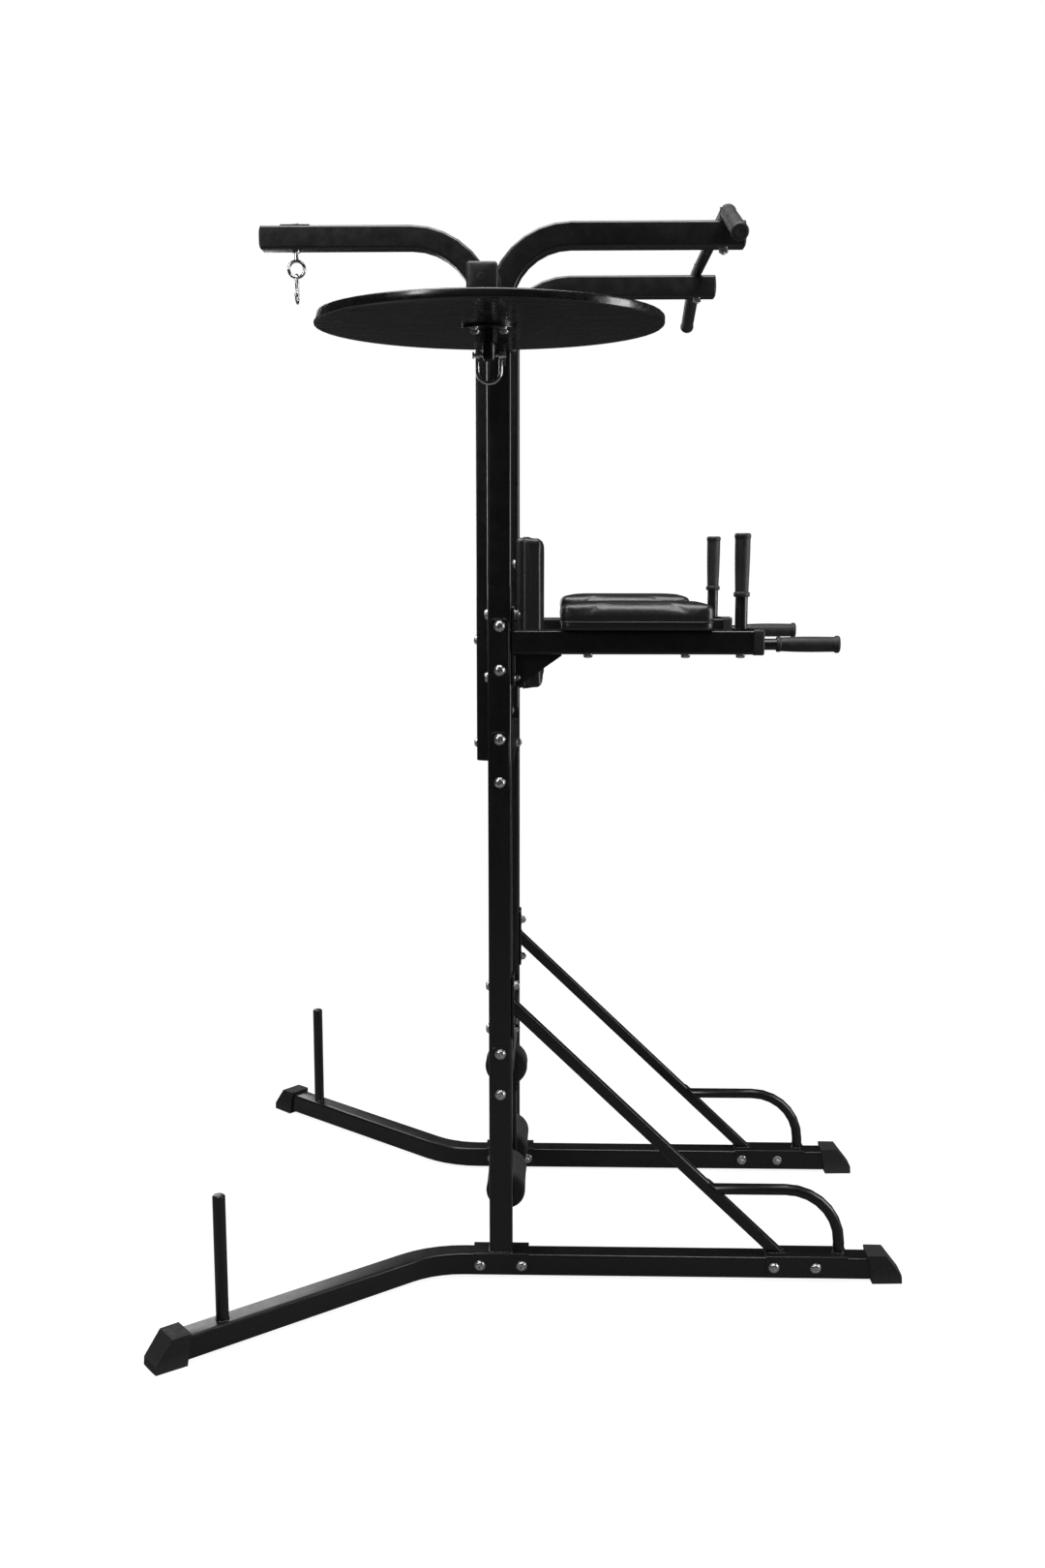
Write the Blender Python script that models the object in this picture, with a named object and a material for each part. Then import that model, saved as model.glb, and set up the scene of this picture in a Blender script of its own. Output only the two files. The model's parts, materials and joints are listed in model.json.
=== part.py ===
"""A free-standing power tower with a pull-up bar, dip arms, a heavy-bag arm, a speed-ball platform,
push-up handles, weight pegs and a sit-up leg hold.

Metres, +Z up. While the parts are built, X = 0 and Y = 0 are midway between the two uprights, +X points
to the dip side and -Y to the speed-ball side, and the floor is at Z = 0. The two side frames are "near"
(-Y) and "far" (+Y). At the end, one empty moves the whole tower so that the origin lies on the floor
under the middle of its bounding box.
"""

import math

import bmesh
import bpy
from mathutils import Matrix, Vector

X = Vector((1.0, 0.0, 0.0))
Y = Vector((0.0, 1.0, 0.0))
Z = Vector((0.0, 0.0, 1.0))
SIDES = {"near": -1, "far": 1}

# Fits
GAP = 0.0003
SMOOTH_ANGLE = math.radians(50)
ROUND_SIDES = 16

# Square steel tube that most of the frame is made of
TUBE = 0.050
WALL = 0.002
TUBE_CORNER = 0.006
INSERT = 0.045
HALF = TUBE / 2

# Base rails: straight under the uprights, then splayed outwards at the back
POST_Y = 0.300
RAIL_BOTTOM = 0.006
RAIL_Z = RAIL_BOTTOM + HALF
RAIL_TOP = RAIL_BOTTOM + TUBE
RAIL_FRONT_X = 0.835
RAIL_BEND_X = -0.152
RAIL_BEND_R = 0.200
SPLAY = math.radians(39)
SPLAY_LENGTH = 0.624
PEG_FROM_BEND = 0.513
PEG_RADIUS = 0.013
PEG_WALL = 0.0025
PEG_TOP = 0.320

# Rubber foot caps, in the frame of a rail's end
CAP_BACK = 0.032
CAP_TOP_LENGTH = 0.009
CAP_NOSE_LENGTH = 0.0455
CAP_NOSE_Z = 0.0175
CAP_TOE_LENGTH = 0.047
CAP_HEEL = 0.021
CAP_TOP_Z = 0.0635
CAP_HALF_WIDTH = 0.0305
CAP_FLARE = 0.06

# Uprights: three straight tubes and a bent arm, spliced by reduced ends
SADDLE_WEB = 0.004
SADDLE_DEPTH = 0.042
SADDLE_HALF_LENGTH = 0.061
SPLICE_LOW_Z = 0.4695
SPLICE_MID_Z = 1.1530
SPLICE_TOP_Z = 1.5180
SPLICE_DEPTH = 0.064
ARM_SPLICE_DEPTH = 0.194
ARM_Z = 2.2130
ARM_BEND_R = 0.145
ARM_END_X = 0.488

# Crossbeams between the uprights
BEAM_HEIGHTS = {"lower": SPLICE_LOW_Z, "middle": SPLICE_MID_Z, "upper": 1.389}
BEAM_X = 0.006
BEAM_WIDTH = 0.040
BEAM_PLATE = 0.005
BEAM_PLATE_WIDTH = 0.046
BEAM_PLATE_HEIGHT = 0.128
BEAM_VENT_R = 0.012
BOLT_SPREAD = 0.0455
BOLT_R = 0.005
BOLT_HOLE_R = 0.0055
BOLT_SIDES = 8
STRIP_WIDTH = 0.040
STRIP_HEIGHT = 0.123
STRIP_THICKNESS = 0.002
HEX_R = 0.0098
HEX_HEIGHT = 0.007

# Brace frames: plate on the upright, slanted brace, channel over the rail and push-up handle
BRACE_TUBE = 0.025
BRACE_WALL = 0.002
BRACE_TOP = Vector((0.0293, 0.0, 0.614))
BRACE_SLOPE = -0.9603
BRACE_PLATE = 0.004
BRACE_PLATE_Z = (0.545, 0.690)
BRACKET_X = (0.583, 0.762)
PUSH_R = 0.0125
PUSH_WALL = 0.002
PUSH_FOOT_X = 0.7445
PUSH_Z = 0.203
PUSH_BEND_R = 0.120

# Heavy-bag arm in the middle plane, on the back of the crossbeams
BAG_X = -0.0393
BAG_BOTTOM_Z = 1.117
BAG_ARM_Z = 2.269
BAG_BEND_R = 0.165
BAG_END_X = -0.532
EYE_X = -0.460

# Pull-up bar and its grips
BAR_X = 0.450
BAR_R = 0.0125
BAR_WALL = 0.0025
BAR_ELBOW_Y = 0.340
BAR_DROP = math.radians(20)
BAR_OUTER_LENGTH = 0.262
BAR_BEND_R = 0.040
GRIP_R = 0.0160
GRIP_CLEARANCE = 0.0004
GRIP_END = 0.0055
BAR_GRIP_LENGTH = 0.235

# Speed-ball platform
PLATFORM_Y = -0.747
PLATFORM_ARM_Z = 2.0143
PLATFORM_ARM_END_Y = -0.985
BOARD_R = 0.305
BOARD_THICKNESS = 0.016
BOARD_TOP_Z = PLATFORM_ARM_Z - HALF - GAP
BOARD_BOTTOM_Z = BOARD_TOP_Z - BOARD_THICKNESS
SADDLE_REACH = 0.042
SADDLE_HALF_HEIGHT = 0.029

# Swivel, pin and shackle under the platform
FLANGE_R = 0.048
FLANGE_THICKNESS = 0.004
BOSS_R = 0.0145
BOSS_DEPTH = 0.026
SWIVEL_BORE_R = 0.0063
SWIVEL_SHAFT_R = 0.006
SWIVEL_HEAD_R = 0.0105
SWIVEL_POCKET_R = 0.0112
SWIVEL_POCKET_DEPTH = 0.010
SHACKLE_PIN_Z = 1.925
SHACKLE_HALF_WIDTH = 0.0205
SHACKLE_WIRE_R = 0.0035
SHACKLE_BOW_Z = 1.898
BOW_STEPS = 10
PIN_R = 0.0032
PIN_HALF_LENGTH = 0.029
EYE_HOLE_R = 0.0036

# Eye bolt and snap hook at the end of the bag arm
EYE_RING_R = 0.0175
EYE_WIRE_R = 0.0035
EYE_RING_Z = 2.204
HOOK_WIRE_R = 0.003
HOOK_HALF_WIDTH = 0.011
HOOK_TOP_Z = 2.1933
HOOK_BOTTOM_Z = 2.132
HOOK_STEPS = 7
GATE_R = 0.0025
GATE_LOW_Z = 2.1490
GATE_HIGH_Z = 2.1790

# Dip arms with vertical and forward handles
DIP_Z = 1.4015
DIP_END_X = 0.542
DIP_PLATE = 0.005
DIP_PLATE_Z = (1.307, 1.477)
GUSSET = 0.005
GUSSET_X = 0.129
FORWARD_Z = 1.397
FORWARD_R = 0.012
FORWARD_END_X = 0.700
FORWARD_GRIP_X = (0.575, 0.706)
HANDLE_X = 0.501
HANDLE_R = 0.013
HANDLE_TOP_Z = 1.619
HANDLE_GRIP_Z = (1.495, 1.625)
HANDLE_FOOT = 0.003
TUBE_HANDLE_WALL = 0.0025

# Pads
ARM_PAD_CENTRE_X = 0.284
ARM_PAD_SIZE = (0.316, 0.100, 0.060)
BACK_PAD_CENTRE = Vector((0.059, 0.0, 1.454))
BACK_PAD_SIZE = (0.058, 0.280, 0.330)
PAD_ROUNDING = 0.012
PAD_PLATE = 0.0035
PAD_PLATE_HALF_WIDTH = 0.060
PAD_PLATE_TOP_Z = 1.590

# Sit-up leg hold under the lower crossbeam
HOLD_X = BEAM_X
HOLD_TUBE = 0.040
FORK_PLATE = 0.004
FORK_HALF_GAP = 0.029
FORK_BASE_Z = 0.326
HOLD_BOTTOM_Z = 0.120
AXLE_Z = 0.145
AXLE_R = 0.010
AXLE_HALF_LENGTH = 0.194
LEG_ROLLER_R = 0.046
LEG_ROLLER_Y = (0.044, 0.191)
LEG_ROLLER_BORE_R = 0.0104
KNEE_X = 0.002
KNEE_Z = 0.383
KNEE_PIN_R = 0.006
KNEE_ROLLER_R = 0.051
KNEE_ROLLER_HALF = 0.027
KNEE_BORE_R = 0.0064

MATERIALS = {
    "black_paint": ((0.012, 0.012, 0.013), 0.38, 0.6),
    "zinc": ((0.72, 0.73, 0.74), 0.30, 1.0),
    "chrome": ((0.80, 0.80, 0.80), 0.15, 1.0),
    "rubber": ((0.015, 0.015, 0.015), 0.75, 0.0),
    "plastic": ((0.014, 0.014, 0.014), 0.50, 0.0),
    "foam": ((0.016, 0.016, 0.017), 0.85, 0.0),
    "vinyl": ((0.010, 0.010, 0.011), 0.32, 0.0),
    "board": ((0.012, 0.011, 0.011), 0.30, 0.0),
}


# ---------------------------------------------------------------- scene and materials


def clear_scene():
    """Empties the scene before the tower is built."""
    for thing in list(bpy.data.objects):
        bpy.data.objects.remove(thing)


def make_material(name):
    """One Principled material from the table."""
    colour, roughness, metallic = MATERIALS[name]
    material = bpy.data.materials.new(name)
    material.use_nodes = True
    shader = material.node_tree.nodes["Principled BSDF"]
    shader.inputs["Base Color"].default_value = (*colour, 1.0)
    shader.inputs["Roughness"].default_value = roughness
    shader.inputs["Metallic"].default_value = metallic
    return material


def blank(bm):
    """A working object that holds a mesh until it is named."""
    bmesh.ops.recalc_face_normals(bm, faces=bm.faces)
    mesh = bpy.data.meshes.new("blank")
    bm.to_mesh(mesh)
    bm.free()
    thing = bpy.data.objects.new("blank", mesh)
    bpy.context.scene.collection.objects.link(thing)
    return thing


def combine(target, tools, operation):
    """Applies one exact Boolean per tool to the target and removes the tools."""
    for tool in tools:
        modifier = target.modifiers.new(operation.title(), "BOOLEAN")
        modifier.operation = operation
        modifier.solver = "EXACT"
        modifier.object = tool
        graph = bpy.context.evaluated_depsgraph_get()
        mesh = bpy.data.meshes.new_from_object(target.evaluated_get(graph))
        target.modifiers.clear()
        target.data = mesh
        bpy.data.objects.remove(tool)
    return target


def weld(target, *tools):
    """Joins the tools to the target as one body."""
    return combine(target, tools, "UNION")


def cut(target, *tools):
    """Removes the tools' volume from the target."""
    return combine(target, tools, "DIFFERENCE")


def finish(thing, name, material, origin=None):
    """Names a part, gives it its finish and puts its origin where it is needed."""
    centre = Vector(origin) if origin is not None else Vector((0.0, 0.0, 0.0))
    thing.name = name
    thing.data.name = name
    thing.data.transform(Matrix.Translation(-centre))
    thing.location = centre
    thing.data.materials.clear()
    thing.data.materials.append(materials[material])
    thing.data.shade_smooth()
    thing.data.set_sharp_from_angle(angle=SMOOTH_ANGLE)
    thing.parent = tower
    return thing


# ---------------------------------------------------------------- outlines and solids


def rounded_rectangle(width, height, radius, steps=2):
    """Corner points of a rectangle with round corners, anticlockwise about its centre."""
    points = []
    for quarter in range(4):
        start = quarter * math.pi / 2
        corner_x = (width / 2 - radius) * (1 if quarter in (0, 3) else -1)
        corner_y = (height / 2 - radius) * (1 if quarter in (0, 1) else -1)
        for step in range(steps + 1):
            angle = start + step / steps * math.pi / 2
            points.append((corner_x + radius * math.cos(angle), corner_y + radius * math.sin(angle)))
    return points


def circle(radius, sides=ROUND_SIDES):
    """Points of a regular polygon on a circle."""
    turns = [2 * math.pi * (side + 0.5) / sides for side in range(sides)]
    return [(radius * math.cos(angle), radius * math.sin(angle)) for angle in turns]


def square(side=TUBE, corner=TUBE_CORNER):
    """Outline of a square tube."""
    return rounded_rectangle(side, side, corner)


def route(points, radius=0.0, steps=8):
    """A path of (place, direction) through the points, with its corners rounded to the radius."""
    path = [(points[0], (points[1] - points[0]).normalized())]
    for before, corner, after in zip(points, points[1:], points[2:]):
        arriving = (corner - before).normalized()
        leaving = (after - corner).normalized()
        turn = arriving.angle(leaving)
        start = corner - arriving * radius * math.tan(turn / 2)
        inward = (leaving - arriving * arriving.dot(leaving)).normalized()
        centre = start + inward * radius
        for step in range(steps + 1):
            angle = turn * step / steps
            direction = arriving * math.cos(angle) + inward * math.sin(angle)
            place = centre - inward * radius * math.cos(angle) + arriving * radius * math.sin(angle)
            path.append((place, direction))
    path.append((points[-1], (points[-1] - points[-2]).normalized()))
    return path


def sweep(path, flat, outline):
    """A solid along a plane path. flat is the normal of the path's plane and the outline's second axis."""
    bm = bmesh.new()
    rings = []
    for place, direction in path:
        across = flat.cross(direction)
        rings.append([bm.verts.new(place + across * u + flat * v) for u, v in outline])
    for ring, following in zip(rings, rings[1:]):
        for index in range(len(outline)):
            after = (index + 1) % len(outline)
            bm.faces.new((ring[index], ring[after], following[after], following[index]))
    bm.faces.new(rings[0])
    bm.faces.new(rings[-1])
    return blank(bm)


def bar(start, end, outline, flat=None):
    """A straight prism from start to end."""
    direction = (end - start).normalized()
    if flat is None:
        flat = Z if abs(direction.z) < 0.9 else X
    flat = (flat - direction * flat.dot(direction)).normalized()
    return sweep([(start, direction), (end, direction)], flat, outline)


def box(low, high):
    """An upright box between two corners."""
    middle_x = (low[0] + high[0]) / 2
    middle_y = (low[1] + high[1]) / 2
    half_x = (high[0] - low[0]) / 2
    half_y = (high[1] - low[1]) / 2
    outline = [(half_y, -half_x), (half_y, half_x), (-half_y, half_x), (-half_y, -half_x)]
    return bar(Vector((middle_x, middle_y, low[2])), Vector((middle_x, middle_y, high[2])), outline, X)


def plate(outline, start, thickness, normal, up):
    """A flat plate: the outline's first axis is up x normal and its second axis is up."""
    return sweep([(start, normal), (start + normal * thickness, normal)], up, outline)


def turned(profile, base, axis, sides=ROUND_SIDES, closed=False):
    """A turned solid from (radius, height) points along the axis. closed joins the last to the first."""
    bm = bmesh.new()
    nominal = X if abs(axis.z) > 0.9 else Z
    across = (nominal - axis * axis.dot(nominal)).normalized()
    other = axis.cross(across)
    rings = []
    for radius, height in profile:
        if radius == 0:
            rings.append([bm.verts.new(base + axis * height)] * sides)
            continue
        spokes = [across * u + other * v for u, v in circle(radius, sides)]
        rings.append([bm.verts.new(base + axis * height + spoke) for spoke in spokes])
    pairs = list(zip(rings, rings[1:]))
    if closed:
        pairs.append((rings[-1], rings[0]))
    for ring, following in pairs:
        for index in range(sides):
            after = (index + 1) % sides
            corners = list(dict.fromkeys([ring[index], ring[after], following[after], following[index]]))
            if len(corners) > 2:
                bm.faces.new(corners)
    return blank(bm)


def torus(centre, axis, ring_radius, wire_radius, sides=16, wire_sides=8):
    """A closed wire ring."""
    profile = [(ring_radius + u, v) for u, v in circle(wire_radius, wire_sides)]
    return turned(profile, centre, axis, sides, closed=True)


def channel(half_width, depth, thickness):
    """Outline of a channel that opens downwards, with its web's top at zero."""
    inner = half_width - thickness
    chamfer = thickness * 0.6
    return [
        (-half_width, -depth),
        (-inner, -depth),
        (-inner, -thickness),
        (inner, -thickness),
        (inner, -depth),
        (half_width, -depth),
        (half_width, -chamfer),
        (half_width - chamfer, 0.0),
        (-half_width + chamfer, 0.0),
        (-half_width, -chamfer),
    ]


# ---------------------------------------------------------------- base


def rail_place(side, distance, height):
    """A point on the splayed part of a rail, at a distance from the bend."""
    outward = Vector((-math.cos(SPLAY), side * math.sin(SPLAY), 0.0))
    return Vector((RAIL_BEND_X, side * POST_Y, height)) + outward * distance


def build_base_rail(word, side):
    """A floor rail with its welded weight peg; the peg's bore opens into the rail."""
    front = Vector((RAIL_FRONT_X, side * POST_Y, RAIL_Z))
    corner = Vector((RAIL_BEND_X, side * POST_Y, RAIL_Z))
    path = route([front, corner, rail_place(side, SPLAY_LENGTH, RAIL_Z)], RAIL_BEND_R, 5)
    rail = sweep(path, Z, square())
    beyond = [front + X * 0.01, corner, rail_place(side, SPLAY_LENGTH + 0.01, RAIL_Z)]
    foot = rail_place(side, PEG_FROM_BEND, RAIL_TOP - WALL / 2)
    height = PEG_TOP - foot.z
    profile = [(0, 0), (PEG_RADIUS, 0), (PEG_RADIUS, height - 0.003), (PEG_RADIUS - 0.003, height), (0, height)]
    peg = turned(profile, foot, Z)
    bore_end = rail_place(side, PEG_FROM_BEND, PEG_TOP - PEG_WALL)
    peg_bore = bar(rail_place(side, PEG_FROM_BEND, RAIL_Z), bore_end, circle(PEG_RADIUS - PEG_WALL))
    weld(rail, peg)
    cut(rail, sweep(route(beyond, RAIL_BEND_R, 5), Z, square(TUBE - 2 * WALL, TUBE_CORNER - WALL)), peg_bore)
    finish(rail, f"base_rail_{word}", "black_paint")


def build_foot_cap(name, end, outward):
    """A wedge-shaped rubber shoe over a rail's end."""
    outline = [
        (-CAP_BACK, CAP_TOP_Z),
        (CAP_TOP_LENGTH, CAP_TOP_Z),
        (CAP_NOSE_LENGTH, CAP_NOSE_Z),
        (CAP_TOE_LENGTH, 0.0),
        (-CAP_HEEL, 0.0),
    ]
    bm = bmesh.new()
    rows = []
    for sign in (-1, 1):
        row = []
        for along, height in outline:
            flare = 1 + CAP_FLARE * (1 - height / CAP_TOP_Z)
            row.append(bm.verts.new((along, sign * CAP_HALF_WIDTH * flare, height)))
        rows.append(row)
    for index in range(len(outline)):
        after = (index + 1) % len(outline)
        bm.faces.new((rows[0][index], rows[0][after], rows[1][after], rows[1][index]))
    bm.faces.new(rows[0])
    bm.faces.new(rows[1])
    bmesh.ops.bevel(bm, geom=bm.edges[:], offset=0.0035, segments=1, affect="EDGES")
    shoe = blank(bm)
    reach = CAP_BACK + 0.01
    hollow = TUBE / 2 + GAP
    pocket = box((-reach, -hollow, RAIL_BOTTOM - GAP), (GAP, hollow, RAIL_TOP + GAP))
    cut(shoe, pocket)
    shoe.data.transform(Matrix.Rotation(math.atan2(outward.y, outward.x), 4, "Z"))
    shoe.data.transform(Matrix.Translation((end.x, end.y, 0.0)))
    finish(shoe, name, "rubber")


# ---------------------------------------------------------------- uprights


def bolt_holes(side, heights):
    """Cutters for the cross bolts that run through an upright along Y."""
    reach = HALF + 0.01
    holes = []
    for height in heights:
        centre = Vector((0.0, side * POST_Y, height))
        holes.append(bar(centre - Y * reach, centre + Y * reach, circle(BOLT_HOLE_R, BOLT_SIDES)))
    return holes


def build_lower_post(word, side):
    """The foot of an upright: a saddle over the rail and a tube welded on it."""
    y = side * POST_Y
    web_top = RAIL_TOP + GAP + SADDLE_WEB
    half_width = HALF + GAP + SADDLE_WEB
    start = Vector((-SADDLE_HALF_LENGTH, y, web_top))
    profile = [(-u, v) for u, v in channel(half_width, SADDLE_DEPTH + SADDLE_WEB, SADDLE_WEB)]
    saddle = bar(start, start + X * 2 * SADDLE_HALF_LENGTH, profile, Z)
    top = SPLICE_LOW_Z - GAP / 2
    post = bar(Vector((0, y, web_top - SADDLE_WEB / 2)), Vector((0, y, top)), square(), X)
    bore = square(TUBE - 2 * WALL, TUBE_CORNER - WALL)
    weld(saddle, post)
    cut(saddle, bar(Vector((0, y, RAIL_TOP - 0.01)), Vector((0, y, top + 0.01)), bore, X))
    cut(saddle, *bolt_holes(side, [SPLICE_LOW_Z - BOLT_SPREAD]))
    finish(saddle, f"lower_post_{word}", "black_paint")


def spliced_tube(points, radius, flat, insert_depth):
    """A tube whose lower end is reduced to slide into the tube below it."""
    start = points[0]
    tube = sweep(route(points, radius), flat, square())
    insert = bar(start - Z * insert_depth, start + Z * 0.010, square(INSERT, 0.004), X)
    weld(tube, insert)
    last = points[-1] + (points[-1] - points[-2]).normalized() * 0.01
    inner = [start + Z * 0.020, *points[1:-1], last]
    wide_bore = sweep(route(inner, radius), flat, square(TUBE - 2 * WALL, TUBE_CORNER - WALL))
    narrow = square(INSERT - 2 * WALL, 0.002)
    narrow_bore = bar(start - Z * (insert_depth + 0.01), start + Z * 0.030, narrow, X)
    return cut(tube, wide_bore, narrow_bore)


def build_mid_post(word, side):
    """The tube from the lower to the middle crossbeam."""
    low = Vector((0, side * POST_Y, SPLICE_LOW_Z + GAP / 2))
    high = Vector((0, side * POST_Y, SPLICE_MID_Z - GAP / 2))
    post = spliced_tube([low, high], 0.0, Y, SPLICE_DEPTH)
    heights = [SPLICE_LOW_Z - BOLT_SPREAD, SPLICE_LOW_Z + BOLT_SPREAD, SPLICE_MID_Z - BOLT_SPREAD]
    cut(post, *bolt_holes(side, heights))
    finish(post, f"mid_post_{word}", "black_paint")


def build_upper_post(word, side):
    """The tube from the middle crossbeam past the dip arm."""
    low = Vector((0, side * POST_Y, SPLICE_MID_Z + GAP / 2))
    high = Vector((0, side * POST_Y, SPLICE_TOP_Z - GAP / 2))
    post = spliced_tube([low, high], 0.0, Y, SPLICE_DEPTH)
    upper = BEAM_HEIGHTS["upper"]
    heights = [SPLICE_MID_Z - BOLT_SPREAD, SPLICE_MID_Z + BOLT_SPREAD, upper - BOLT_SPREAD, upper + BOLT_SPREAD]
    cut(post, *bolt_holes(side, heights))
    finish(post, f"upper_post_{word}", "black_paint")


def build_pull_up_arm(word, side):
    """The bent top of an upright, which carries the pull-up bar."""
    y = side * POST_Y
    low = Vector((0, y, SPLICE_TOP_Z + GAP / 2))
    points = [low, Vector((0, y, ARM_Z)), Vector((ARM_END_X, y, ARM_Z))]
    arm = spliced_tube(points, ARM_BEND_R, Y, ARM_SPLICE_DEPTH)
    upper = BEAM_HEIGHTS["upper"]
    cut(arm, *bolt_holes(side, [upper - BOLT_SPREAD, upper + BOLT_SPREAD]))
    finish(arm, f"pull_up_arm_{word}", "black_paint")


def build_plug_cap(name, end, outward, dome):
    """A moulded plug in the open end of a square tube."""
    flat = Y if abs(outward.y) < 0.5 else Z
    bm_rings = [(GAP, TUBE), (dome * 0.45, TUBE), (dome * 0.8, TUBE - 0.005), (dome, TUBE - 0.013)]
    bm = bmesh.new()
    rings = []
    across = flat.cross(outward)
    for height, width in bm_rings:
        outline = square(width, TUBE_CORNER)
        centre = end + outward * height
        rings.append([bm.verts.new(centre + across * u + flat * v) for u, v in outline])
    for ring, following in zip(rings, rings[1:]):
        for index in range(len(ring)):
            after = (index + 1) % len(ring)
            bm.faces.new((ring[index], ring[after], following[after], following[index]))
    bm.faces.new(rings[0])
    bm.faces.new(rings[-1])
    cap = blank(bm)
    stem = bar(end - outward * 0.016, end + outward * 0.002, square(INSERT, 0.004), flat)
    hollow = bar(end - outward * 0.018, end - outward * 0.002, square(INSERT - 0.004, 0.003), flat)
    weld(cap, stem)
    cut(cap, hollow)
    finish(cap, name, "plastic")


# ---------------------------------------------------------------- crossbeams and their bolts


def build_crossbeam(word, height):
    """A rectangular tube between two end plates; the upper one also carries the back pad's plate."""
    reach = POST_Y - HALF - GAP
    inner = reach - BEAM_PLATE
    middle = Vector((BEAM_X, 0.0, height))
    outline = rounded_rectangle(BEAM_WIDTH, TUBE, TUBE_CORNER)
    beam = bar(middle - Y * (inner + 0.001), middle + Y * (inner + 0.001), [(-u, v) for u, v in outline], Z)
    bore = rounded_rectangle(BEAM_WIDTH - 2 * WALL, TUBE - 2 * WALL, TUBE_CORNER - WALL)
    for side in SIDES.values():
        rounded = rounded_rectangle(BEAM_PLATE_WIDTH, BEAM_PLATE_HEIGHT, 0.012)
        centre = Vector((0.0, side * inner, height))
        weld(beam, plate(rounded, centre, BEAM_PLATE, Y * side, Z))
    if word == "upper":
        face = BEAM_X + BEAM_WIDTH / 2
        low = (face - 0.001, -PAD_PLATE_HALF_WIDTH, height - HALF)
        weld(beam, box(low, (face + PAD_PLATE, PAD_PLATE_HALF_WIDTH, PAD_PLATE_TOP_Z)))
    cut(beam, bar(middle - Y * (inner - 0.002), middle + Y * (inner - 0.002), bore, Z))
    axis = Vector((0.0, 0.0, height))
    cut(beam, bar(axis - Y * (reach + 0.01), axis + Y * (reach + 0.01), circle(BEAM_VENT_R, 10)))
    for offset in (-BOLT_SPREAD, BOLT_SPREAD):
        hole = axis + Z * offset
        cut(beam, bar(hole - Y * (reach + 0.01), hole + Y * (reach + 0.01), circle(BOLT_HOLE_R, BOLT_SIDES)))
    finish(beam, f"crossbeam_{word}", "black_paint")


def build_cross_bolts(level, height, word, side):
    """Two bolts on one backing strip, which clamp a crossbeam's end plate to an upright."""
    out = Y * side
    face = Vector((0.0, side * (POST_Y + HALF + GAP), height))
    strip = plate(rounded_rectangle(STRIP_WIDTH, STRIP_HEIGHT, 0.009), face, STRIP_THICKNESS, out, Z)
    inner = POST_Y - HALF - 2 * GAP - BEAM_PLATE
    hexagon = circle(HEX_R, 6)
    for offset in (-BOLT_SPREAD, BOLT_SPREAD):
        outer_face = face + Z * offset + out * STRIP_THICKNESS
        inner_face = Vector((0.0, side * inner, height + offset))
        head = bar(outer_face - out * 0.001, outer_face + out * HEX_HEIGHT, hexagon)
        shank = bar(outer_face - out * 0.001, inner_face - out * (HEX_HEIGHT + 0.006), circle(BOLT_R, BOLT_SIDES))
        nut = bar(inner_face, inner_face - out * HEX_HEIGHT, hexagon)
        weld(strip, head, shank, nut)
    finish(strip, f"cross_bolts_{level}_{word}", "zinc")


# ---------------------------------------------------------------- brace frames


def build_brace_frame(word, side):
    """A brace with its plate, its channel over the rail and the push-up handle, welded together."""
    y = side * POST_Y
    shift = Vector((0.0, y, 0.0))
    web_top = RAIL_TOP + GAP + SADDLE_WEB
    half_width = HALF + GAP + SADDLE_WEB
    profile = [(-u, v) for u, v in channel(half_width, SADDLE_DEPTH + SADDLE_WEB, SADDLE_WEB)]
    frame = bar(Vector((BRACKET_X[0], y, web_top)), Vector((BRACKET_X[1], y, web_top)), profile, Z)
    face = HALF + GAP
    low_z, high_z = BRACE_PLATE_Z
    top_plate = rounded_rectangle(TUBE - 0.002, high_z - low_z, 0.010)
    weld(frame, plate(top_plate, Vector((face, y, (low_z + high_z) / 2)), BRACE_PLATE, X, Z))
    slope = Vector((1.0, 0.0, BRACE_SLOPE)).normalized()
    top = BRACE_TOP + shift
    length = (top.z - web_top) / -slope.z
    brace_end = top + slope * length
    brace_outline = square(BRACE_TUBE, 0.004)
    brace = bar(top - slope * 0.015, brace_end + slope * 0.015, brace_outline, Y)
    cut(brace, box((face - 0.1, y - 0.1, 0.4), (face + 0.001, y + 0.1, 0.8)))
    cut(brace, box((0.4, y - 0.1, -0.1), (0.8, y + 0.1, web_top - 0.001)))
    foot = Vector((PUSH_FOOT_X, y, web_top - 0.001))
    corner = Vector((PUSH_FOOT_X, y, PUSH_Z))
    joint_x = top.x + (top.z - PUSH_Z) / -BRACE_SLOPE
    joint = Vector((joint_x, y, PUSH_Z))
    handle = sweep(route([foot, corner, joint], PUSH_BEND_R, 7), Y, circle(PUSH_R))
    weld(frame, brace, handle)
    bore = square(BRACE_TUBE - 2 * BRACE_WALL, 0.002)
    cut(frame, bar(top - slope * 0.025, brace_end + slope * 0.020, bore, Y))
    inner_path = [foot - Z * 0.010, corner, joint]
    cut(frame, sweep(route(inner_path, PUSH_BEND_R, 7), Y, circle(PUSH_R - PUSH_WALL)))
    finish(frame, f"brace_frame_{word}", "black_paint")


# ---------------------------------------------------------------- heavy-bag arm


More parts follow.
